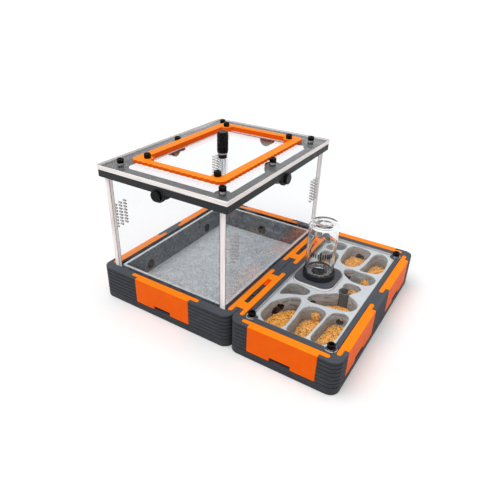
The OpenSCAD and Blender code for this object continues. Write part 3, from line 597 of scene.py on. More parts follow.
@kept
def vent_edge():
    """Drilled walls of the vent holes, matt and grey."""
    f = Finish("drilled_vent")
    return f.skin(f.noise(0.6, 3.0), 0.6, 0.9, (0.3, linear(206, 204, 205)), (0.7, linear(232, 230, 230)))


@kept
def scale_ink():
    """Grey print of the vial's scale."""
    f = Finish("scale_print")
    return f.skin(f.noise(0.7, 4.0), 0.45, 0.75, (0.35, linear(20, 20, 22)), (0.7, linear(46, 47, 49)))


@kept
def floor_paint():
    """Pale floor of the stage."""
    f = Finish("pale_floor")
    stage = bpy.context.scene.ant_farm_stage
    tone = list(stage.floor)
    seen = f.ramp(f.noise(300.0, 2.0), (0.2, scaled(tone, 0.995)), (0.8, tone))
    path = f.add("ShaderNodeLightPath")
    f.paint(f.mixed(path.outputs["Is Diffuse Ray"], seen, rgba(stage.floor_cast)))
    return f.plain(Roughness=1.0, Specular_IOR_Level=0.0)


def merged(node):
    """Copy of a CAD piece's mesh with its double points merged."""
    work = bmesh.new()
    work.from_mesh(NODES[node].data)
    bmesh.ops.remove_doubles(work, verts=work.verts, dist=0.002 * MM)
    return work


def welded(node):
    """Copy of a CAD piece with its long thin triangles traded for even ones."""
    work = merged(node)
    bmesh.ops.dissolve_limit(work, angle_limit=math.radians(0.6), verts=work.verts, edges=work.edges)
    large = [f for f in work.faces if len(f.verts) > 4]
    bmesh.ops.triangulate(work, faces=large, ngon_method="BEAUTY")
    return work


def piece(work, name, finish, sharp=35.0):
    """Turns a bmesh into an object with that finish, smooth between its sharp edges."""
    mesh = bpy.data.meshes.new(name)
    work.to_mesh(mesh)
    work.free()
    if "custom_normal" in mesh.attributes:
        mesh.attributes.remove(mesh.attributes["custom_normal"])
    mesh.shade_smooth()
    mesh.set_sharp_from_angle(angle=math.radians(sharp))
    mesh.materials.append(finish)
    return placed(name, mesh)


def placed(name, data):
    """New object in the scene with that mesh, lamp or camera."""
    obj = bpy.data.objects.new(name, data)
    bpy.context.scene.collection.objects.link(obj)
    return obj


def baked(obj):
    """An object's mesh with its modifiers applied."""
    bpy.context.view_layer.update()
    graph = bpy.context.evaluated_depsgraph_get()
    return bpy.data.meshes.new_from_object(obj.evaluated_get(graph))


def settle(obj):
    """Bakes an object's modifiers into its mesh."""
    plain = baked(obj)
    obj.modifiers.clear()
    obj.data = plain


def ease(obj, width, marked=False):
    """Rounds an object's edges: all the sharp ones, or only those with a bevel weight."""
    cut = obj.modifiers.new("eased_edges", "BEVEL")
    cut.width = width
    cut.segments = 2
    cut.limit_method = "WEIGHT" if marked else "ANGLE"
    cut.angle_limit = math.radians(34.0)
    cut.use_clamp_overlap = False
    cut.loop_slide = False
    cut.harden_normals = True
    settle(obj)


def ride(obj, node):
    """Seats a piece on the body of a CAD node."""
    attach(obj, NODES[node]["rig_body"])


def fix(obj, node):
    """Seats a piece on the body of a CAD node that it stands for."""
    ride(obj, node)
    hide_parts(node)
    return obj


def dressed(node, finish, share=1.0):
    """Copy of a CAD piece, standing for it, with a share of the usual round on its edges."""
    obj = piece(welded(node), node + "_look", finish)
    if share:
        ease(obj, sizes().eased * share)
    return fix(obj, node)


def on_rim(place, low, high, across, windows):
    """Whether a place on a sheet is at its outer edge or at the edge of a cut-out."""
    reach = 1.2 * MM
    if min(min(place[k] - low[k], high[k] - place[k]) for k in across) < reach:
        return True
    return any(all(a[k] - reach < place[k] < b[k] + reach for k in across) for a, b in windows)


def clear_piece(node, finish, edge, *windows):
    """Copy of a clear sheet with polished chamfers painted as grey outlines of shade and edges painted pale
    as lit edges, standing for it.
    """
    low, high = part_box(node)
    size = high - low
    thin = min(range(3), key=lambda k: size[k])
    across = [k for k in range(3) if k != thin]
    work = welded(node)
    work.normal_update()
    for v in work.verts:
        v.co -= v.normal * 0.02 * MM
    weight = work.edges.layers.float.new("bevel_weight_edge")
    for e in work.edges:
        middle = (e.verts[0].co + e.verts[1].co) / 2
        if e.calc_face_angle(0) > 0.6 and on_rim(middle, low, high, across, windows):
            e[weight] = 1.0
    obj = piece(work, node + "_look", finish)
    ease(obj, sizes().polished, marked=True)
    for more in (edge, vent_edge(), chamfer_painted_shade()):
        obj.data.materials.append(more)
    sheet, rim, vent, line = range(4)
    # Painted light and shade: edge faces take the pale lit-edge finish, chamfers the grey painted shade
    for face in obj.data.polygons:
        level = abs(face.normal[thin])
        if not on_rim(face.center, low, high, across, windows):
            face.material_index = vent if level < 0.5 else sheet
        elif level < 0.95:
            face.material_index = rim if level < 0.5 else line
    return fix(obj, node)


def cut_from(obj, cutter):
    """Takes a closed bmesh away from an object."""
    tool = piece(cutter, "cutting_tool", obj.data.materials[0])
    cut = obj.modifiers.new("cut", "BOOLEAN")
    cut.operation = "DIFFERENCE"
    cut.solver = "MANIFOLD"
    cut.object = tool
    settle(obj)
    bpy.data.objects.remove(tool)


def on_bar(point, place, axis, wide, narrow, long):
    """Whether a point is on the wall or the end of a straight or tapered bore."""
    away = point - Vector(place)
    along = away.x if axis == "Y" else -away.y
    across = math.hypot(away.y if axis == "Y" else away.x, away.z)
    radius = narrow + (wide - narrow) * (0.5 + along / long)
    return abs(along) < long / 2 + 0.05 * MM and across < radius + 0.08 * MM


def shade_bores(obj, bars):
    """Paints the walls of the bores in an object dark, as painted shade."""
    obj.data.materials.append(bore_painted_shade())
    own = len(obj.data.materials) - 1
    for face in obj.data.polygons:
        if any(on_bar(face.center, *bar) for bar in bars):
            face.material_index = own


def port_bars(low, high, reach=15 * MM):
    """Tube ports through the sides of a box, each as a place, an axis, two radii and a length."""
    middle = (low + high) / 2
    bars = []
    for x in (low.x, high.x):
        for y in (-PORT_ASIDE, PORT_ASIDE):
            bars.append(((x, y, PORT_Z), "Y", PORT_R, PORT_R, reach))
    for y in (low.y, high.y):
        bars.append(((middle.x, y, PORT_Z), "X", PORT_R, PORT_R, reach))
    return bars


def ring_of(work, points):
    """Vertices of one ring."""
    return [work.verts.new(p) for p in points]


def band(work, low, high):
    """Faces between two rings, or between a ring and a single point."""
    count = max(len(low), len(high))
    for k in range(count):
        n = (k + 1) % count
        if len(low) == 1:
            work.faces.new((low[0], high[n], high[k]))
        elif len(high) == 1:
            work.faces.new((low[k], low[n], high[0]))
        else:
            work.faces.new((low[k], low[n], high[n], high[k]))


def turned(work, profile, steps, centre=(0, 0, 0)):
    """Adds a turned form. A profile step is a radius, or a function of the angle, and a height."""
    middle = Vector(centre)
    rows = []
    for radius, height in profile:
        points = []
        for k in range(steps if radius else 1):
            a = TAU * k / steps
            r = radius(a) if callable(radius) else radius
            points.append(middle + Vector((r * math.cos(a), r * math.sin(a), height)))
        rows.append(ring_of(work, points))
    for low, high in zip(rows, rows[1:]):
        band(work, low, high)


def turned_piece(name, finish, sharp, steps, middle, *profiles):
    """Closed turned piece of one or more profiles."""
    work = bmesh.new()
    for profile in profiles:
        turned(work, profile, steps, middle)
    outward(work)
    return piece(work, name, finish, sharp)


def outward(work):
    """Points every face of a closed bmesh outwards."""
    bmesh.ops.remove_doubles(work, verts=work.verts, dist=0.001 * MM)
    bmesh.ops.recalc_face_normals(work, faces=work.faces)


def hexagon(across):
    """Radius of a hexagon at each angle, by its half width across the flats."""

    def at(a):
        return across / math.cos((a + math.pi / 6) % (math.pi / 3) - math.pi / 6)

    return at


def toothed(radius, deep, teeth):
    """Radius of a straight-knurled round at each angle."""

    def at(a):
        return radius - deep * abs(2 * ((a * teeth / TAU) % 1) - 1)

    return at


def threaded(radius, deep, pitch, height):
    """Radius of a thread at a height and each angle."""

    def at(a):
        return radius - deep * abs(2 * ((height / pitch + a / TAU) % 1) - 1)

    return at


def cap_screw(name, head_r, head_h, shank_r, shank_l):
    """One knurled hexagon-socket cap screw standing on z = 0."""
    teeth = sizes().teeth
    socket = head_r * 0.52
    deep = head_h * 0.55
    ease_w = head_r * 0.1
    profile = [(0, head_h - deep), (hexagon(socket), head_h - deep), (hexagon(socket), head_h - ease_w),
               (hexagon(socket * 1.12), head_h), (head_r - 2.2 * ease_w, head_h),
               (head_r - 1.2 * ease_w, head_h - 0.25 * ease_w), (head_r - ease_w * 0.6, head_h - ease_w)]
    grip = toothed(head_r, head_r * 0.07, teeth)
    profile += [(grip, head_h - 1.5 * ease_w), (grip, ease_w * 1.4), (head_r - ease_w * 0.7, ease_w * 0.6),
                (head_r - ease_w, 0.02 * MM), (shank_r, 0.02 * MM)]
    turns = max(8, int(shank_l / (0.18 * MM)))
    for k in range(1, turns):
        z = -shank_l * k / turns
        profile.append((threaded(shank_r - 0.03 * MM, 0.16 * MM, 0.5 * MM, z), z))
    profile += [(shank_r * 0.7, -shank_l + 0.02 * MM), (0, -shank_l + 0.02 * MM)]
    return turned_piece(name, black_plastic(), 28, teeth * 2, (0, 0, 0), profile)


def arc(middle, height, radius, start, squash=1.0, first=1):
    """Profile steps of a quarter round, upwards from an angle."""
    steps = 8
    made = []
    for k in range(first, steps + 1):
        a = start + QUARTER * k / steps
        made.append((middle + radius * math.cos(a), height + radius * math.sin(a) * squash))
    return made


def round_box(node):
    """Lower and upper end, axis and radius of a round CAD piece that stands upright."""
    low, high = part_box(node)
    return low.z, high.z, ((low.x + high.x) / 2, (low.y + high.y) / 2, 0), (high.x - low.x) / 2


def group(name, **inputs):
    """Net of a new geometry node group, and the outputs of its input node."""
    tree = bpy.data.node_groups.new(name, "GeometryNodeTree")
    for title, kind in dict(Geometry="Geometry", **inputs).items():
        tree.interface.new_socket(title, in_out="INPUT", socket_type="NodeSocket" + kind)
    tree.interface.new_socket("Geometry", in_out="OUTPUT", socket_type="NodeSocketGeometry")
    net = Net(tree)
    return net, net.add("NodeGroupInput").outputs


def coated(net, enter, instances):
    """Ends a group: makes its instances real and gives them the finish."""
    real = net.add("GeometryNodeRealizeInstances", instances)
    coat = net.add("GeometryNodeSetMaterial", Geometry=real, Material=enter["Finish"])
    net.add("NodeGroupOutput", Geometry=coat)
    return net.tree


def spread_over(carrier, tree, name, **values):
    """Runs a geometry node group on a carrier mesh and gives the plain result as an object."""
    step = carrier.modifiers.new(tree.name, "NODES")
    step.node_group = tree
    for item in tree.interface.items_tree:
        if item.item_type == "SOCKET" and item.in_out == "INPUT" and item.name in values:
            step[item.identifier] = values[item.name]
    obj = placed(name, baked(carrier))
    obj.data.name = name
    bpy.data.objects.remove(carrier)
    return obj


def repeat_tree():
    """Group that stands one shape on every point, each turned by its own angle."""
    net, enter = group("stand_on_points", Shape="Object", Seed="Int", Finish="Material")
    shape = net.add("GeometryNodeObjectInfo", Object=enter["Shape"], transform_space="ORIGINAL")
    turn = net.add("FunctionNodeRandomValue", data_type="FLOAT_VECTOR", Min=(0, 0, 0), Max=(0, 0, TAU),
                   Seed=enter["Seed"])
    stand = net.add("GeometryNodeInstanceOnPoints", Points=enter["Geometry"],
                    Instance=shape.outputs["Geometry"], Rotation=turn)
    return coated(net, enter, stand)


def grain_tree():
    """Group that scatters grains over a bed, each with its own turn, size and shade."""
    net, enter = group("scatter_grains", Grain="Object", Density="Float", Smallest="Float",
                       Largest="Float", Seed="Int", Finish="Material")
    least_up = -0.1
    normal = net.add("ShaderNodeSeparateXYZ", net.add("GeometryNodeInputNormal"))
    faces_up = net.add("FunctionNodeCompare", data_type="FLOAT", operation="GREATER_THAN",
                       A=normal.outputs["Z"], B=least_up)
    points = net.add("GeometryNodeDistributePointsOnFaces", Mesh=enter["Geometry"], Selection=faces_up,
                     Density=enter["Density"], Seed=enter["Seed"])
    shape = net.add("GeometryNodeObjectInfo", Object=enter["Grain"])
    seeds = [net.add("ShaderNodeMath", enter["Seed"], k, operation="ADD") for k in (1, 2, 3)]
    turn = net.add("FunctionNodeRandomValue", data_type="FLOAT_VECTOR", Max=(TAU, TAU, TAU), Seed=seeds[0])
    size = net.add("FunctionNodeRandomValue", data_type="FLOAT", Seed=seeds[1])
    net.join(enter["Smallest"], size, 2)
    net.join(enter["Largest"], size, 3)
    shade = net.add("FunctionNodeRandomValue", data_type="FLOAT", Seed=seeds[2])
    stand = net.add("GeometryNodeInstanceOnPoints", Points=points, Instance=shape.outputs["Geometry"],
                    Rotation=turn, Scale=size.outputs[1])
    note = net.add("GeometryNodeStoreNamedAttribute", data_type="FLOAT", domain="INSTANCE", Name="shade",
                   Geometry=stand, Value=shade.outputs[1])
    return coated(net, enter, note)


def points_object(name, places):
    """Mesh of single points."""
    mesh = bpy.data.meshes.new(name)
    mesh.from_pydata([tuple(p) for p in places], [], [])
    return placed(name, mesh)


def solid_middles(node):
    """Middle of each separate solid of a CAD node, as x and y."""
    work = welded(node)
    todo = set(work.verts)
    found = []
    while todo:
        seed = todo.pop()
        part = [seed]
        spread = [seed]
        while spread:
            v = spread.pop()
            for e in v.link_edges:
                other = e.other_vert(v)
                if other in todo:
                    todo.discard(other)
                    spread.append(other)
                    part.append(other)
        xs = [v.co.x for v in part]
        ys = [v.co.y for v in part]
        found.append(((min(xs) + max(xs)) / 2, (min(ys) + max(ys)) / 2))
    work.free()
    return sorted(found)


def screws_for(node, foot, head_r, head_h, seed):
    """Detailed screws at the places of a CAD screw node, as one piece."""
    shape = cap_screw(node + "_shape", head_r, head_h, 1.5 * MM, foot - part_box(node)[0].z)
    carrier = points_object(node + "_places", [(x, y, foot) for x, y in solid_middles(node)])
    obj = spread_over(carrier, repeat_tree(), node + "_look", Shape=shape, Seed=seed, Finish=black_plastic())
    bpy.data.objects.remove(shape)
    return fix(obj, node)


def rim_loops(node, level):
    """Closed outlines of a CAD node's top face at a height, each as a list of points."""
    work = merged(node)
    work.normal_update()
    near = 0.004 * MM
    work.edges.index_update()
    edges = {}
    for e in work.edges:
        if all(abs(v.co.z - level) < near for v in e.verts):
            if sum(f.normal.z > 0.99 for f in e.link_faces) == 1:
                edges[e.index] = e
    loops = []
    while edges:
        start, here = edges.pop(min(edges)).verts
        loop = [start.co.copy(), here.co.copy()]
        while here != start:
            following = [e for e in here.link_edges if e.index in edges]
            if not following:
                break
            edges.pop(following[0].index)
            here = following[0].other_vert(here)
            if here != start:
                loop.append(here.co.copy())
        loops.append(loop)
    work.free()
    return loops


def area_of(loop):
    """Signed area of a flat outline."""
    total = 0.0
    for a, b in zip(loop, loop[1:] + loop[:1]):
        total += a.x * b.y - b.x * a.y
    return total / 2


def even(loop, spacing):
    """Outline with evenly spaced points, running anticlockwise."""
    if area_of(loop) < 0:
        loop = loop[::-1]
    steps = [(b - a).length for a, b in zip(loop, loop[1:] + loop[:1])]
    count = max(12, round(sum(steps) / spacing))
    unit = sum(steps) / count
    made = []
    walked = 0.0
    goal = 0.0
    for k, step in enumerate(steps):
        a = loop[k]
        b = loop[(k + 1) % len(loop)]
        while goal < walked + step - 1e-12 and len(made) < count:
            made.append(a.lerp(b, (goal - walked) / step))
            goal += unit
        walked += step
    return made


def softened(loop, passes):
    """Outline with its small corners rounded off."""
    for _ in range(passes):
        loop = [(loop[k - 1] + loop[k] * 2 + loop[(k + 1) % len(loop)]) / 4 for k in range(len(loop))]
    return loop


def normals_of(loop):
    """Outward directions along an anticlockwise outline."""
    made = []
    for k in range(len(loop)):
        along = loop[(k + 1) % len(loop)] - loop[k - 1]
        made.append(Vector((along.y, -along.x, 0)).normalized())
    return made


def fill_between(work, rings):
    """Flat face between closed rings."""
    edges = []
    for ring in rings:
        for a, b in zip(ring, ring[1:] + ring[:1]):
            edges.append(work.edges.get((a, b)) or work.edges.new((a, b)))
    bmesh.ops.triangle_fill(work, use_beauty=True, use_dissolve=False, edges=edges)


def wall_ripple(p):
    """Rippled, layered relief of the chamber walls, from -1 to 1."""
    broad = noise.noise(Vector((p.x * 110, p.y * 110, p.z * 210)))
    layer = noise.noise(Vector((p.x * 160 + 7, p.y * 160 + 3, p.z * 620)))
    return 0.95 * broad + 0.6 * layer


class ANTFARM_OT_stage(Operator):
    """Pale floor, soft light and the camera"""

    bl_idname = "antfarm.stage"
    bl_label = "Stage and camera"

    def execute(self, context):
        stage = context.scene.ant_farm_stage
        work = bmesh.new()
        turned(work, [(0, 0), (0.4, 0), (2.0, 0), (25.0, 0)], 64, (0, 0, -0.0002))
        bmesh.ops.recalc_face_normals(work, faces=work.faces)
        if work.faces[:][0].normal.z < 0:
            bmesh.ops.reverse_faces(work, faces=work.faces)
        floor = piece(work, "floor", floor_paint())
        lamp = bpy.data.lights.new("soft_key", "SUN")
        lamp.energy = stage.key
        lamp.angle = stage.spread
        placed("soft_key", lamp).rotation_euler = (math.radians(14), math.radians(-8), 0)
        self.light_room(context, stage)
        self.place_camera(context, stage)
        context.scene.view_settings.view_transform = "Standard"
        return {"FINISHED"}

    def light_room(self, context, stage):
        """World that lights softly and shows white behind the object."""
        world = bpy.data.worlds.new("pale_room")
        context.scene.world = world
        world.use_nodes = True
        net = Net(world.node_tree)
        soft = net.add("ShaderNodeBackground", (1, 1, 1, 1), stage.fill)
        white = net.add("ShaderNodeBackground", (1, 1, 1, 1), 1.0)
        path = net.add("ShaderNodeLightPath").outputs
        seen = net.add("ShaderNodeMath", path["Is Camera Ray"], path["Is Glossy Ray"], operation="MAXIMUM")
        both = net.add("ShaderNodeMath", seen, path["Is Transmission Ray"], operation="MAXIMUM")
        net.add("ShaderNodeOutputWorld", net.add("ShaderNodeMixShader", both, soft, white))

    def place_camera(self, context, stage):
        """Camera at the photograph's viewing angle."""
        data = bpy.data.cameras.new("view")
        data.lens = stage.lens
        data.sensor_width = 36.0
        data.shift_x = stage.shift
        data.clip_start = 0.01
        data.clip_end = 100
        back = (Vector(stage.eye) - Vector(stage.target)).normalized()
        right = Vector((0, 0, 1)).cross(back).normalized()
        above = back.cross(right)
        c = math.cos(stage.roll)
        s = math.sin(stage.roll)
        across = right * c + above * s
        upward = above * c - right * s
        turn = Matrix((across, upward, back)).transposed().to_4x4()
        camera = placed("view", data)
        camera.matrix_world = Matrix.Translation(Vector(stage.eye)) @ turn
        context.scene.camera = camera


class ANTFARM_OT_bases(Operator):
    """Ribbed bases with eased ribs"""

    bl_idname = "antfarm.bases"
    bl_label = "Ribbed bases"

    def execute(self, context):
        arena = dressed("arena_base", base_plastic(), 0.8)
        self.paint_seat_shadow(arena)
        shade_bores(arena, port_bars(*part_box("arena_basin"), 24 * MM))
        dressed("nest_base", base_plastic(), 0.8)
        return {"FINISHED"}

    def paint_seat_shadow(self, base):
        """Painted shadow: black on the faces of the clear walls' seat, as the dark line under the walls."""
        low = Vector([min(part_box(n)[0][k] for n in WALLS) for k in range(3)])
        high = Vector([max(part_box(n)[1][k] for n in WALLS) for k in range(3)])
        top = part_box("arena_base")[1].z
        thick = 4.4 * MM
        # Painted shadow: faces in the walls' seat take the black finish
        base.data.materials.append(black_plastic())
        for face in base.data.polygons:
            c = face.center
            inset = min(c.x - low.x, high.x - c.x, c.y - low.y, high.y - c.y)
            if -0.3 * MM < inset < thick and low.z - 0.5 * MM < c.z < top - 0.1 * MM:
                face.material_index = 1


class ANTFARM_OT_covers(Operator):
    """Orange side covers and seam links"""

    bl_idname = "antfarm.covers"
    bl_label = "Covers and links"

    def execute(self, context):
        for node in NODES:
            if node.endswith(("_cover", "_cover_front", "_cover_back")) and node != "nest_cover":
                dressed(node, orange_plastic())
            elif node.startswith("link_"):
                dressed(node, orange_plastic(), 0.8)
        return {"FINISHED"}


class ANTFARM_OT_gates(Operator):
    """Gate sliders in the links"""

    bl_idname = "antfarm.gates"
    bl_label = "Gate sliders"
    notches = (0.27, 0.62)
    notch = 1.0 * MM

    def execute(self, context):
        for node in ("gate_front", "gate_back"):
            low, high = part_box(node)
            cutter = bmesh.new()
            for share in self.notches:
                place = ((low.x + high.x) / 2, low.y + (high.y - low.y) * share, high.z)
                lie = Matrix.Translation(place) @ Matrix.Rotation(QUARTER / 2, 4, "X")
                lie = lie @ Matrix.Diagonal((8 * MM, self.notch, self.notch, 1))
                bmesh.ops.create_cube(cutter, size=1.0, matrix=lie)
            obj = piece(welded(node), node + "_look", collar_plastic())
            cut_from(obj, cutter)
            ease(obj, sizes().eased * 0.6)
            fix(obj, node)
        return {"FINISHED"}


class ANTFARM_OT_basin(Operator):
    """Cast basin with a rough floor"""

    bl_idname = "antfarm.basin"
    bl_label = "Cast basin"
    seed = 7

    def execute(self, context):
        noise.seed_set(self.seed)
        tub = dressed("arena_basin", cast_plaster())
        low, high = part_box("arena_basin")
        shade_bores(tub, port_bars(low, high))
        inset = 4.15 * MM
        nx = 118
        ny = 170
        x0, x1 = low.x + inset, high.x - inset
        y0, y1 = low.y + inset, high.y - inset
        work = bmesh.new()
        grid = []
        for j in range(ny + 1):
            row = []
            for i in range(nx + 1):
                x = x0 + (x1 - x0) * i / nx
                y = y0 + (y1 - y0) * j / ny
                fade = min(1.0, min(i, nx - i, j, ny - j) / 3.0)
                rise = max(0.02 * MM, self.relief(x, y) * fade)
                row.append(work.verts.new((x, y, BASIN_FLOOR + rise)))
            grid.append(row)
        for j in range(ny):
            for i in range(nx):
                work.faces.new((grid[j][i], grid[j][i + 1], grid[j + 1][i + 1], grid[j + 1][i]))
        right = [row[-1] for row in grid]
        left = [row[0] for row in grid]
        rim = grid[0][:-1] + right[:-1] + grid[-1][:0:-1] + left[:0:-1]
        foot = ring_of(work, [Vector((v.co.x, v.co.y, BASIN_FLOOR + 0.005 * MM)) for v in rim])
        band(work, foot, rim)
        fill_between(work, [foot])
        outward(work)
        ride(piece(work, "basin_floor_cast", cast_plaster(), 60), "arena_basin")
        return {"FINISHED"}

    def relief(self, x, y):
        """Height of the cast floor's lumps, pits and cracks at a place."""
        p = Vector((x * 160, y * 160, 3.0))
        lumps = noise.fractal(p, 0.8, 2.1, 5)
        pits = noise.noise(Vector((x * 620, y * 620, 9.0)))
        crack = noise.noise(Vector((x * 75, y * 75, 5.0)) + noise.noise_vector(p * 0.9) * 0.35)
        dip = max(0.0, 1 - abs(crack) * 26)
        return sizes().relief * (0.6 + 0.42 * lumps + 0.4 * pits - 0.5 * dip)


class ANTFARM_OT_sheets(Operator):
    """Clear walls, lid, pane and nest cover with polished edges"""

    bl_idname = "antfarm.sheets"
    bl_label = "Clear sheets"

    def execute(self, context):
        for node in WALLS:
            clear_piece(node, clear_sheet(), upright_lit_edge())
        for node in ("lid_plate", "hatch_pane"):
            clear_piece(node, clear_sheet(), level_lit_edge())
        clear_piece("nest_cover", nest_sheet(), level_lit_edge(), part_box("humidifier_plate"))
        dressed("feeder_tube", tube_clear(), 0)
        return {"FINISHED"}


class ANTFARM_OT_collar(Operator):
    """Top collar and its four knobs"""

    bl_idname = "antfarm.collar"
    bl_label = "Collar and knobs"

    def execute(self, context):
        dressed("top_collar", collar_plastic())
        for node in ("knob_front", "knob_back", "knob_left", "knob_right"):
            dressed(node, black_plastic(), 0.5)
        return {"FINISHED"}


class ANTFARM_OT_hatch(Operator):
    """Orange hatch frame with its toothed edge"""

    bl_idname = "antfarm.hatch"
    bl_label = "Hatch frame"

    def execute(self, context):
        dressed("hatch_frame", orange_plastic(), 0.6)
        return {"FINISHED"}


class ANTFARM_OT_screws(Operator):
    """Knurled cap screws of the lid, hatch and nest cover"""

    bl_idname = "antfarm.screws"
    bl_label = "Cap screws"
    rows = (
        ("lid_screws", "lid_plate", 2.5, 3.2, 3),
        ("hatch_screws", "hatch_frame", 2.5, 3.6, 5),
        ("cover_screws", "nest_cover", 2.75, 3.0, 8),
    )

    def execute(self, context):
        for node, under, head_r, head_h, seed in self.rows:
            screws_for(node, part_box(under)[1].z, head_r * MM, head_h * MM, seed)
        return {"FINISHED"}


class ANTFARM_OT_feeder(Operator):
    """Feeder cap with a diamond knurl"""

    bl_idname = "antfarm.feeder"
    bl_label = "Feeder cap"

    def execute(self, context):
        low, high, middle, out = round_box("feeder_cap")
        neck = 3.3 * MM
        bore = 2.87 * MM
        foot = low - 3.2 * MM
        seat = low + 2.42 * MM
        rows = 44
        start = seat + 1.1 * MM
        stop = high - 1.6 * MM
        profile = [(bore, foot), (neck, foot), (neck, seat), (out - 0.45 * MM, seat + 0.02 * MM),
                   (out - 0.3 * MM, seat + 0.5 * MM), (out - 0.36 * MM, start)]
        for k in range(rows + 1):
            z = start + (stop - start) * k / rows
            profile.append((self.knurl(out, z), z))
        profile += [(out - 0.4 * MM, stop + 0.15 * MM), (out - 0.28 * MM, stop + 0.4 * MM),
                    (out - 0.32 * MM, high - 0.7 * MM), (out - 0.75 * MM, high - 0.15 * MM),
                    (out - 1.2 * MM, high), (out - 2.0 * MM, high - 0.12 * MM), (0, high - 0.2 * MM)]
        inner = [(bore, foot), (bore, low + 7.6 * MM), (0, low + 7.6 * MM)]
        obj = turned_piece("feeder_cap_look", black_plastic(), 40, 90, middle, profile, inner)
        fix(obj, "feeder_cap")
        return {"FINISHED"}

    def knurl(self, out, z):
        """Radius of a diamond knurl at a height and each angle."""
        deep = 0.42 * MM
        pitch = 2.6 * MM
        starts = 10

        def at(a):
            one = abs(2 * ((a * starts / TAU + z / pitch) % 1) - 1)
            two = abs(2 * ((a * starts / TAU - z / pitch) % 1) - 1)
            return out - deep * (one + two)

        return at


class ANTFARM_OT_nest(Operator):
    """Chamber block with rounded rims and rippled, layered walls"""

    bl_idname = "antfarm.nest"
    bl_label = "Chamber block"
    # Place of each passage as shares of the block's width and depth, and whether it runs along X
    passages = (
        (0.11, 0.255, 0), (0.55, 0.285, 0), (0.84, 0.302, 0), (0.372, 0.35, 1), (0.75, 0.587, 0),
        (0.55, 0.722, 0), (0.8, 0.724, 0), (0.345, 0.77, 1), (0.2, 0.866, 0),
    )

    def execute(self, context):
        low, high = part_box("nest_block")
        top = high.z - 0.03 * MM
        rim = sizes().rim
        loops = sorted(rim_loops("nest_block", high.z), key=lambda loop: -abs(area_of(loop)))
        if len(loops) < 8:
            raise RuntimeError("the chamber block's outlines were not found")
        outline = loops[0]
        if area_of(outline) < 0:
            outline = outline[::-1]
        sleeve, pad = ((a + b) / 2 for a, b in (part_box("tunnel_sleeve"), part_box("humidifier_pad")))
        work = bmesh.new()
        shifted = normals_of(outline)
        edge = 0.3 * MM
        crown = [p - n * edge for p, n in zip(outline, shifted)]
        top_rings = [ring_of(work, [Vector((p.x, p.y, top)) for p in crown])]
        side = [top_rings[0]]
        for drop, back in ((0.09 * MM, 0.09 * MM), (edge, 0.0)):
            side.append(ring_of(work, [Vector((p.x, p.y, top - drop)) - n * back
                                       for p, n in zip(outline, shifted)]))
        side.append(ring_of(work, [Vector((p.x, p.y, low.z)) for p in outline]))
        for a, b in zip(side, side[1:]):
            band(work, a, b)
        fill_between(work, [side[-1]])
        for loop in loops[1:]:
            well = (sum(loop, Vector()) / len(loop) - pad).xy.length < 2 * MM
            shape = softened(even(loop, 0.85 * MM), 1 if well else 2)
            top_rings.append(self.chamber(work, shape, top, low.z, rim, sleeve, well))
        fill_between(work, top_rings)
        outward(work)
        block = piece(work, "nest_block_look", nest_cast(), 40)
        self.bore(block)
        fix(block, "nest_block")
        return {"FINISHED"}

    def chamber(self, work, shape, top, foot, rim, sleeve, well):
        """One chamber's rim, wall and floor. Gives its ring in the top face."""
        facing = normals_of(shape)
        floor = foot + 3.0 * MM
        deep = top - rim - floor
        rings = []
        for k in range(5):
            a = QUARTER * k / 4
            out = rim * (1 - math.sin(a))
            z = top - rim * (1 - math.cos(a))
            rings.append([Vector((p.x, p.y, z)) + n * out for p, n in zip(shape, facing)])
        levels = 20
        for k in range(1, levels + 1):
            share = k / levels
            z = top - rim - deep * share
            ring = []
            for p, n in zip(shape, facing):
                here = Vector((p.x, p.y, z))
                near = (here - sleeve).xy.length
                calm = 0.0 if well else min(1.0, max(0.0, (near - 5.2 * MM) / (2.5 * MM)))
                grow = min(1.0, share * 6) * calm
                ring.append(here + n * (wall_ripple(here) * sizes().ripple - 0.25 * MM * share) * grow)
            rings.append(ring)
        made = [ring_of(work, ring) for ring in rings]
        for a, b in zip(made, made[1:]):
            band(work, a, b)
        fill_between(work, [made[-1]])
        return made[0]

    def bore(self, block):
        """Ports and passages through the block's walls; the passages taper nearly shut, and all their walls
        are painted dark as shade.
        """
        low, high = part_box("nest_block")
        size = high - low
        bars = port_bars(low, high, 13 * MM)
        for u, v, turn in self.passages:
            place = (low.x + u * size.x, low.y + v * size.y, PASSAGE_Z)
            bars.append((place, "Y" if turn else "X", 3.9 * MM, 0.3 * MM, 12 * MM))
        cutter = bmesh.new()
        for place, axis, wide, narrow, long in bars:
            lie = Matrix.Translation(place) @ Matrix.Rotation(QUARTER, 4, axis)
            bmesh.ops.create_cone(cutter, cap_ends=True, segments=32, radius1=narrow, radius2=wide,
                                  depth=long, matrix=lie)
        cut_from(block, cutter)
        shade_bores(block, bars)


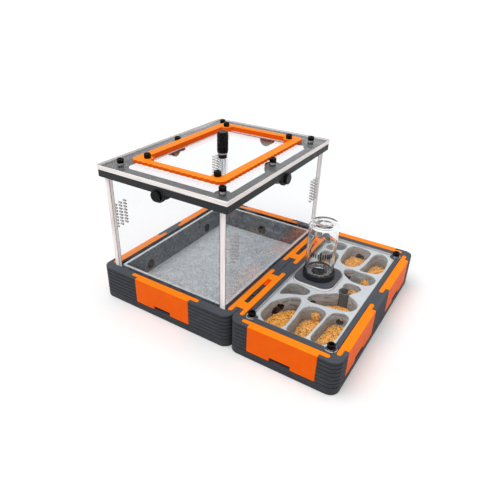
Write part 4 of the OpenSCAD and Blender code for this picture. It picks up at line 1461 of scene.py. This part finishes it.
class ANTFARM_OT_substrate(Operator):
    """Substrate beds with heaps and loose grains"""

    bl_idname = "antfarm.substrate"
    bl_label = "Substrate"
    # Middle and radius of each added lump, in millimetres
    lumps = (
        (62.3, -31.2, 15.2, 3.4), (77.2, 29.0, 14.8, 3.3), (44.6, -15.6, 9.5, 2.8), (75.2, 8.2, 14.8, 4.2),
    )

    def execute(self, context):
        low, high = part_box("nest_substrate")
        work = merged("nest_substrate")
        for x, y, z, wide in self.lumps:
            lie = Matrix.Translation(Vector((x, y, z)) * MM)
            bmesh.ops.create_icosphere(work, subdivisions=3, radius=wide * MM, matrix=lie)
        bed = piece(work, "substrate_bed", bed_soil(), 50)
        remesh = bed.modifiers.new("lumps", "REMESH")
        remesh.mode = "VOXEL"
        remesh.voxel_size = 0.7 * MM
        settle(bed)
        for v in bed.data.vertices:
            if v.co.z > low.z + 1.0 * MM:
                wave = noise.fractal(v.co * 260, 0.9, 2.0, 3)
                v.co.z += wave * 0.45 * MM
        bed.data.shade_smooth()
        grain = self.grain()
        carrier = bed.copy()
        carrier.data = bed.data.copy()
        context.scene.collection.objects.link(carrier)
        wide = sizes().grain
        density = sizes().per_area / (MM * MM)
        loose = spread_over(carrier, grain_tree(), "substrate_grains", Grain=grain, Density=density,
                            Smallest=wide * 0.55, Largest=wide, Seed=11, Finish=loose_grain())
        bpy.data.objects.remove(grain)
        fix(bed, "nest_substrate")
        ride(loose, "nest_substrate")
        return {"FINISHED"}

    def grain(self):
        """One rough grain, a unit wide."""
        work = bmesh.new()
        bmesh.ops.create_icosphere(work, subdivisions=1, radius=0.5)
        for v in work.verts:
            v.co *= 1 + 0.28 * noise.noise(v.co * 3.1 + Vector((4, 1, 7)))
            v.co.z *= 0.5
            v.co.y *= 0.75
            v.co.x *= 1.3
        return piece(work, "grain_shape", loose_grain(), 25)


class ANTFARM_OT_humidifier(Operator):
    """Humidifier plate, ring, pad, and the tunnel sleeve"""

    bl_idname = "antfarm.humidifier"
    bl_label = "Humidifier"

    def execute(self, context):
        dressed("humidifier_plate", plate_rubber(), 1.4)
        dressed("humidifier_ring", collar_plastic(), 0.8)
        dressed("humidifier_pad", felt_pad())
        dressed("tunnel_sleeve", sleeve_plastic(), 0.6)
        return {"FINISHED"}


class ANTFARM_OT_vial(Operator):
    """Inverted glass vial with its stopper and a plain scale"""

    bl_idname = "antfarm.vial"
    bl_label = "Vial"

    def execute(self, context):
        foot, head, middle, out = round_box("vial")
        profiles = self.profiles(foot, head, out - 0.04 * MM)
        fix(turned_piece("vial_look", vial_glass(), 60, 96, middle, *profiles), "vial")
        self.stopper(middle)
        self.scale(middle, out, head - 25.0 * MM)
        return {"FINISHED"}

    def profiles(self, foot, head, out):
        """Outer and inner profile of the glass, both from the mouth to the closed end."""
        glass = 1.15 * MM
        neck = 6.2 * MM
        lip = 6.8 * MM
        bore = 5.0 * MM
        shoulder = foot + 7.7 * MM
        outer = [(bore, foot), (bore + 0.4 * MM, foot), (lip - 0.25 * MM, foot), (lip, foot + 0.3 * MM),
                 (lip, foot + 1.3 * MM), (lip - 0.25 * MM, foot + 1.6 * MM), (neck, foot + 1.65 * MM),
                 (neck, shoulder)]
        bend = 2.4 * MM
        outer += arc(out - bend, shoulder + bend, bend, -QUARTER)
        for k in range(1, 12):
            outer.append((out, shoulder + bend + (head - bend - shoulder - bend) * k / 12))
        outer += arc(out - bend, head - bend, bend, 0, first=0)
        outer += [(out - bend - 0.9 * MM, head - 0.05 * MM), (out - bend - 2.0 * MM, head - 0.55 * MM),
                  (out - bend - 3.4 * MM, head - 0.9 * MM), (2.4 * MM, head - 1.0 * MM),
                  (0, head - 1.0 * MM)]
        inner = [(bore, foot), (bore, shoulder), (bore + 0.3 * MM, shoulder + 0.9 * MM)]
        small = bend - 0.4 * MM
        inner += arc(out - glass - small, shoulder + glass + small, small, -QUARTER)
        inner.append((out - glass, head - bend - glass))
        inner += arc(out - glass - small, head - bend - glass, small, 0, 0.8)
        inner += [(out - glass - small - 1.6 * MM, head - 2.75 * MM), (2.4 * MM, head - 2.9 * MM),
                  (0, head - 2.9 * MM)]
        return outer, inner

    def stopper(self, middle):
        """Rubber stopper with a ribbed plug and a dished top."""
        low, high, _, wide = round_box("vial_stopper")
        plug = 4.9 * MM
        flange = 1.4 * MM
        profile = [(0, low), (wide - 0.3 * MM, low), (wide, low + 0.3 * MM),
                   (wide, low + flange - 0.1 * MM), (plug, low + flange)]
        rows = 9
        rise = high - 0.3 * MM - low - flange
        for k in range(1, rows):
            profile.append((plug - (0.22 * MM if k % 2 else 0.0), low + flange + rise * k / rows))
        profile += [(plug, high - 0.3 * MM), (plug - 0.4 * MM, high), (plug - 1.1 * MM, high),
                    (plug - 1.7 * MM, high - 0.8 * MM), (1.2 * MM, high - 1.0 * MM),
                    (0, high - 0.9 * MM)]
        obj = turned_piece("vial_stopper_look", stopper_rubber(), 50, 72, middle, profile)
        fix(obj, "vial_stopper")

    def scale(self, middle, out, foot):
        """Plain scale of short and long ticks, printed round the front of the glass."""
        work = bmesh.new()
        r = out - 0.06 * MM
        count = 11
        for k in range(count):
            tall = 5.4 * MM if k % 5 == 0 else 3.6 * MM
            start = -1.25 + (k - count // 2) * 0.16
            self.tick(work, middle, r, out, foot, start, start + 0.085, tall)
        outward(work)
        marks = piece(work, "vial_scale", scale_ink(), 40)
        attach(marks, NODES["vial"]["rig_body"])

    def tick(self, work, middle, inner, outer, z, start, stop, high):
        """One thin curved bar on the glass."""
        steps = 6
        rows = []
        for r, dz in ((inner, 0), (outer, 0), (outer, high), (inner, high)):
            row = []
            for k in range(steps + 1):
                a = start + (stop - start) * k / steps
                x, y = middle[0] + r * math.cos(a), middle[1] + r * math.sin(a)
                row.append(work.verts.new((x, y, z + dz)))
            rows.append(row)
        for one, two in zip(rows, rows[1:] + rows[:1]):
            for k in range(steps):
                work.faces.new((one[k], one[k + 1], two[k + 1], two[k]))
        for k in (0, steps):
            work.faces.new([row[k] for row in rows])


OPERATORS = (
    ANTFARM_OT_stage, ANTFARM_OT_bases, ANTFARM_OT_covers, ANTFARM_OT_gates, ANTFARM_OT_basin,
    ANTFARM_OT_sheets, ANTFARM_OT_collar, ANTFARM_OT_hatch, ANTFARM_OT_screws, ANTFARM_OT_feeder,
    ANTFARM_OT_nest, ANTFARM_OT_substrate, ANTFARM_OT_humidifier, ANTFARM_OT_vial,
)
GROUPS = (AntFarmColours, AntFarmSizes, AntFarmStage)


class ANTFARM_PT_looks(Panel):
    """Buttons for every group of pieces, with their sizes and colours"""

    bl_idname = "ANTFARM_PT_looks"
    bl_label = "Ant farm"
    bl_space_type = "VIEW_3D"
    bl_region_type = "UI"
    bl_category = "Ant farm"

    def draw(self, context):
        layout = self.layout
        for step in OPERATORS:
            layout.operator(step.bl_idname)
        scene = context.scene
        for group in (scene.ant_farm_colours, scene.ant_farm_sizes, scene.ant_farm_stage):
            box = layout.box()
            for key in group.bl_rna.properties.keys():
                if key not in ("rna_type", "name"):
                    box.prop(group, key)


def register():
    """Makes the classes and properties known to Blender."""
    for made in GROUPS + OPERATORS + (ANTFARM_PT_looks,):
        bpy.utils.register_class(made)
    bpy.types.Scene.ant_farm_colours = PointerProperty(type=AntFarmColours)
    bpy.types.Scene.ant_farm_sizes = PointerProperty(type=AntFarmSizes)
    bpy.types.Scene.ant_farm_stage = PointerProperty(type=AntFarmStage)


def unregister():
    """Takes the classes and properties away again."""
    del bpy.types.Scene.ant_farm_stage
    del bpy.types.Scene.ant_farm_sizes
    del bpy.types.Scene.ant_farm_colours
    for made in reversed(GROUPS + OPERATORS + (ANTFARM_PT_looks,)):
        bpy.utils.unregister_class(made)


def main():
    """Dresses the whole ant farm."""
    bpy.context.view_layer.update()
    register()
    for step in OPERATORS:
        group, name = step.bl_idname.split(".")
        getattr(getattr(bpy.ops, group), name)()


if __name__ == "__main__":
    main()
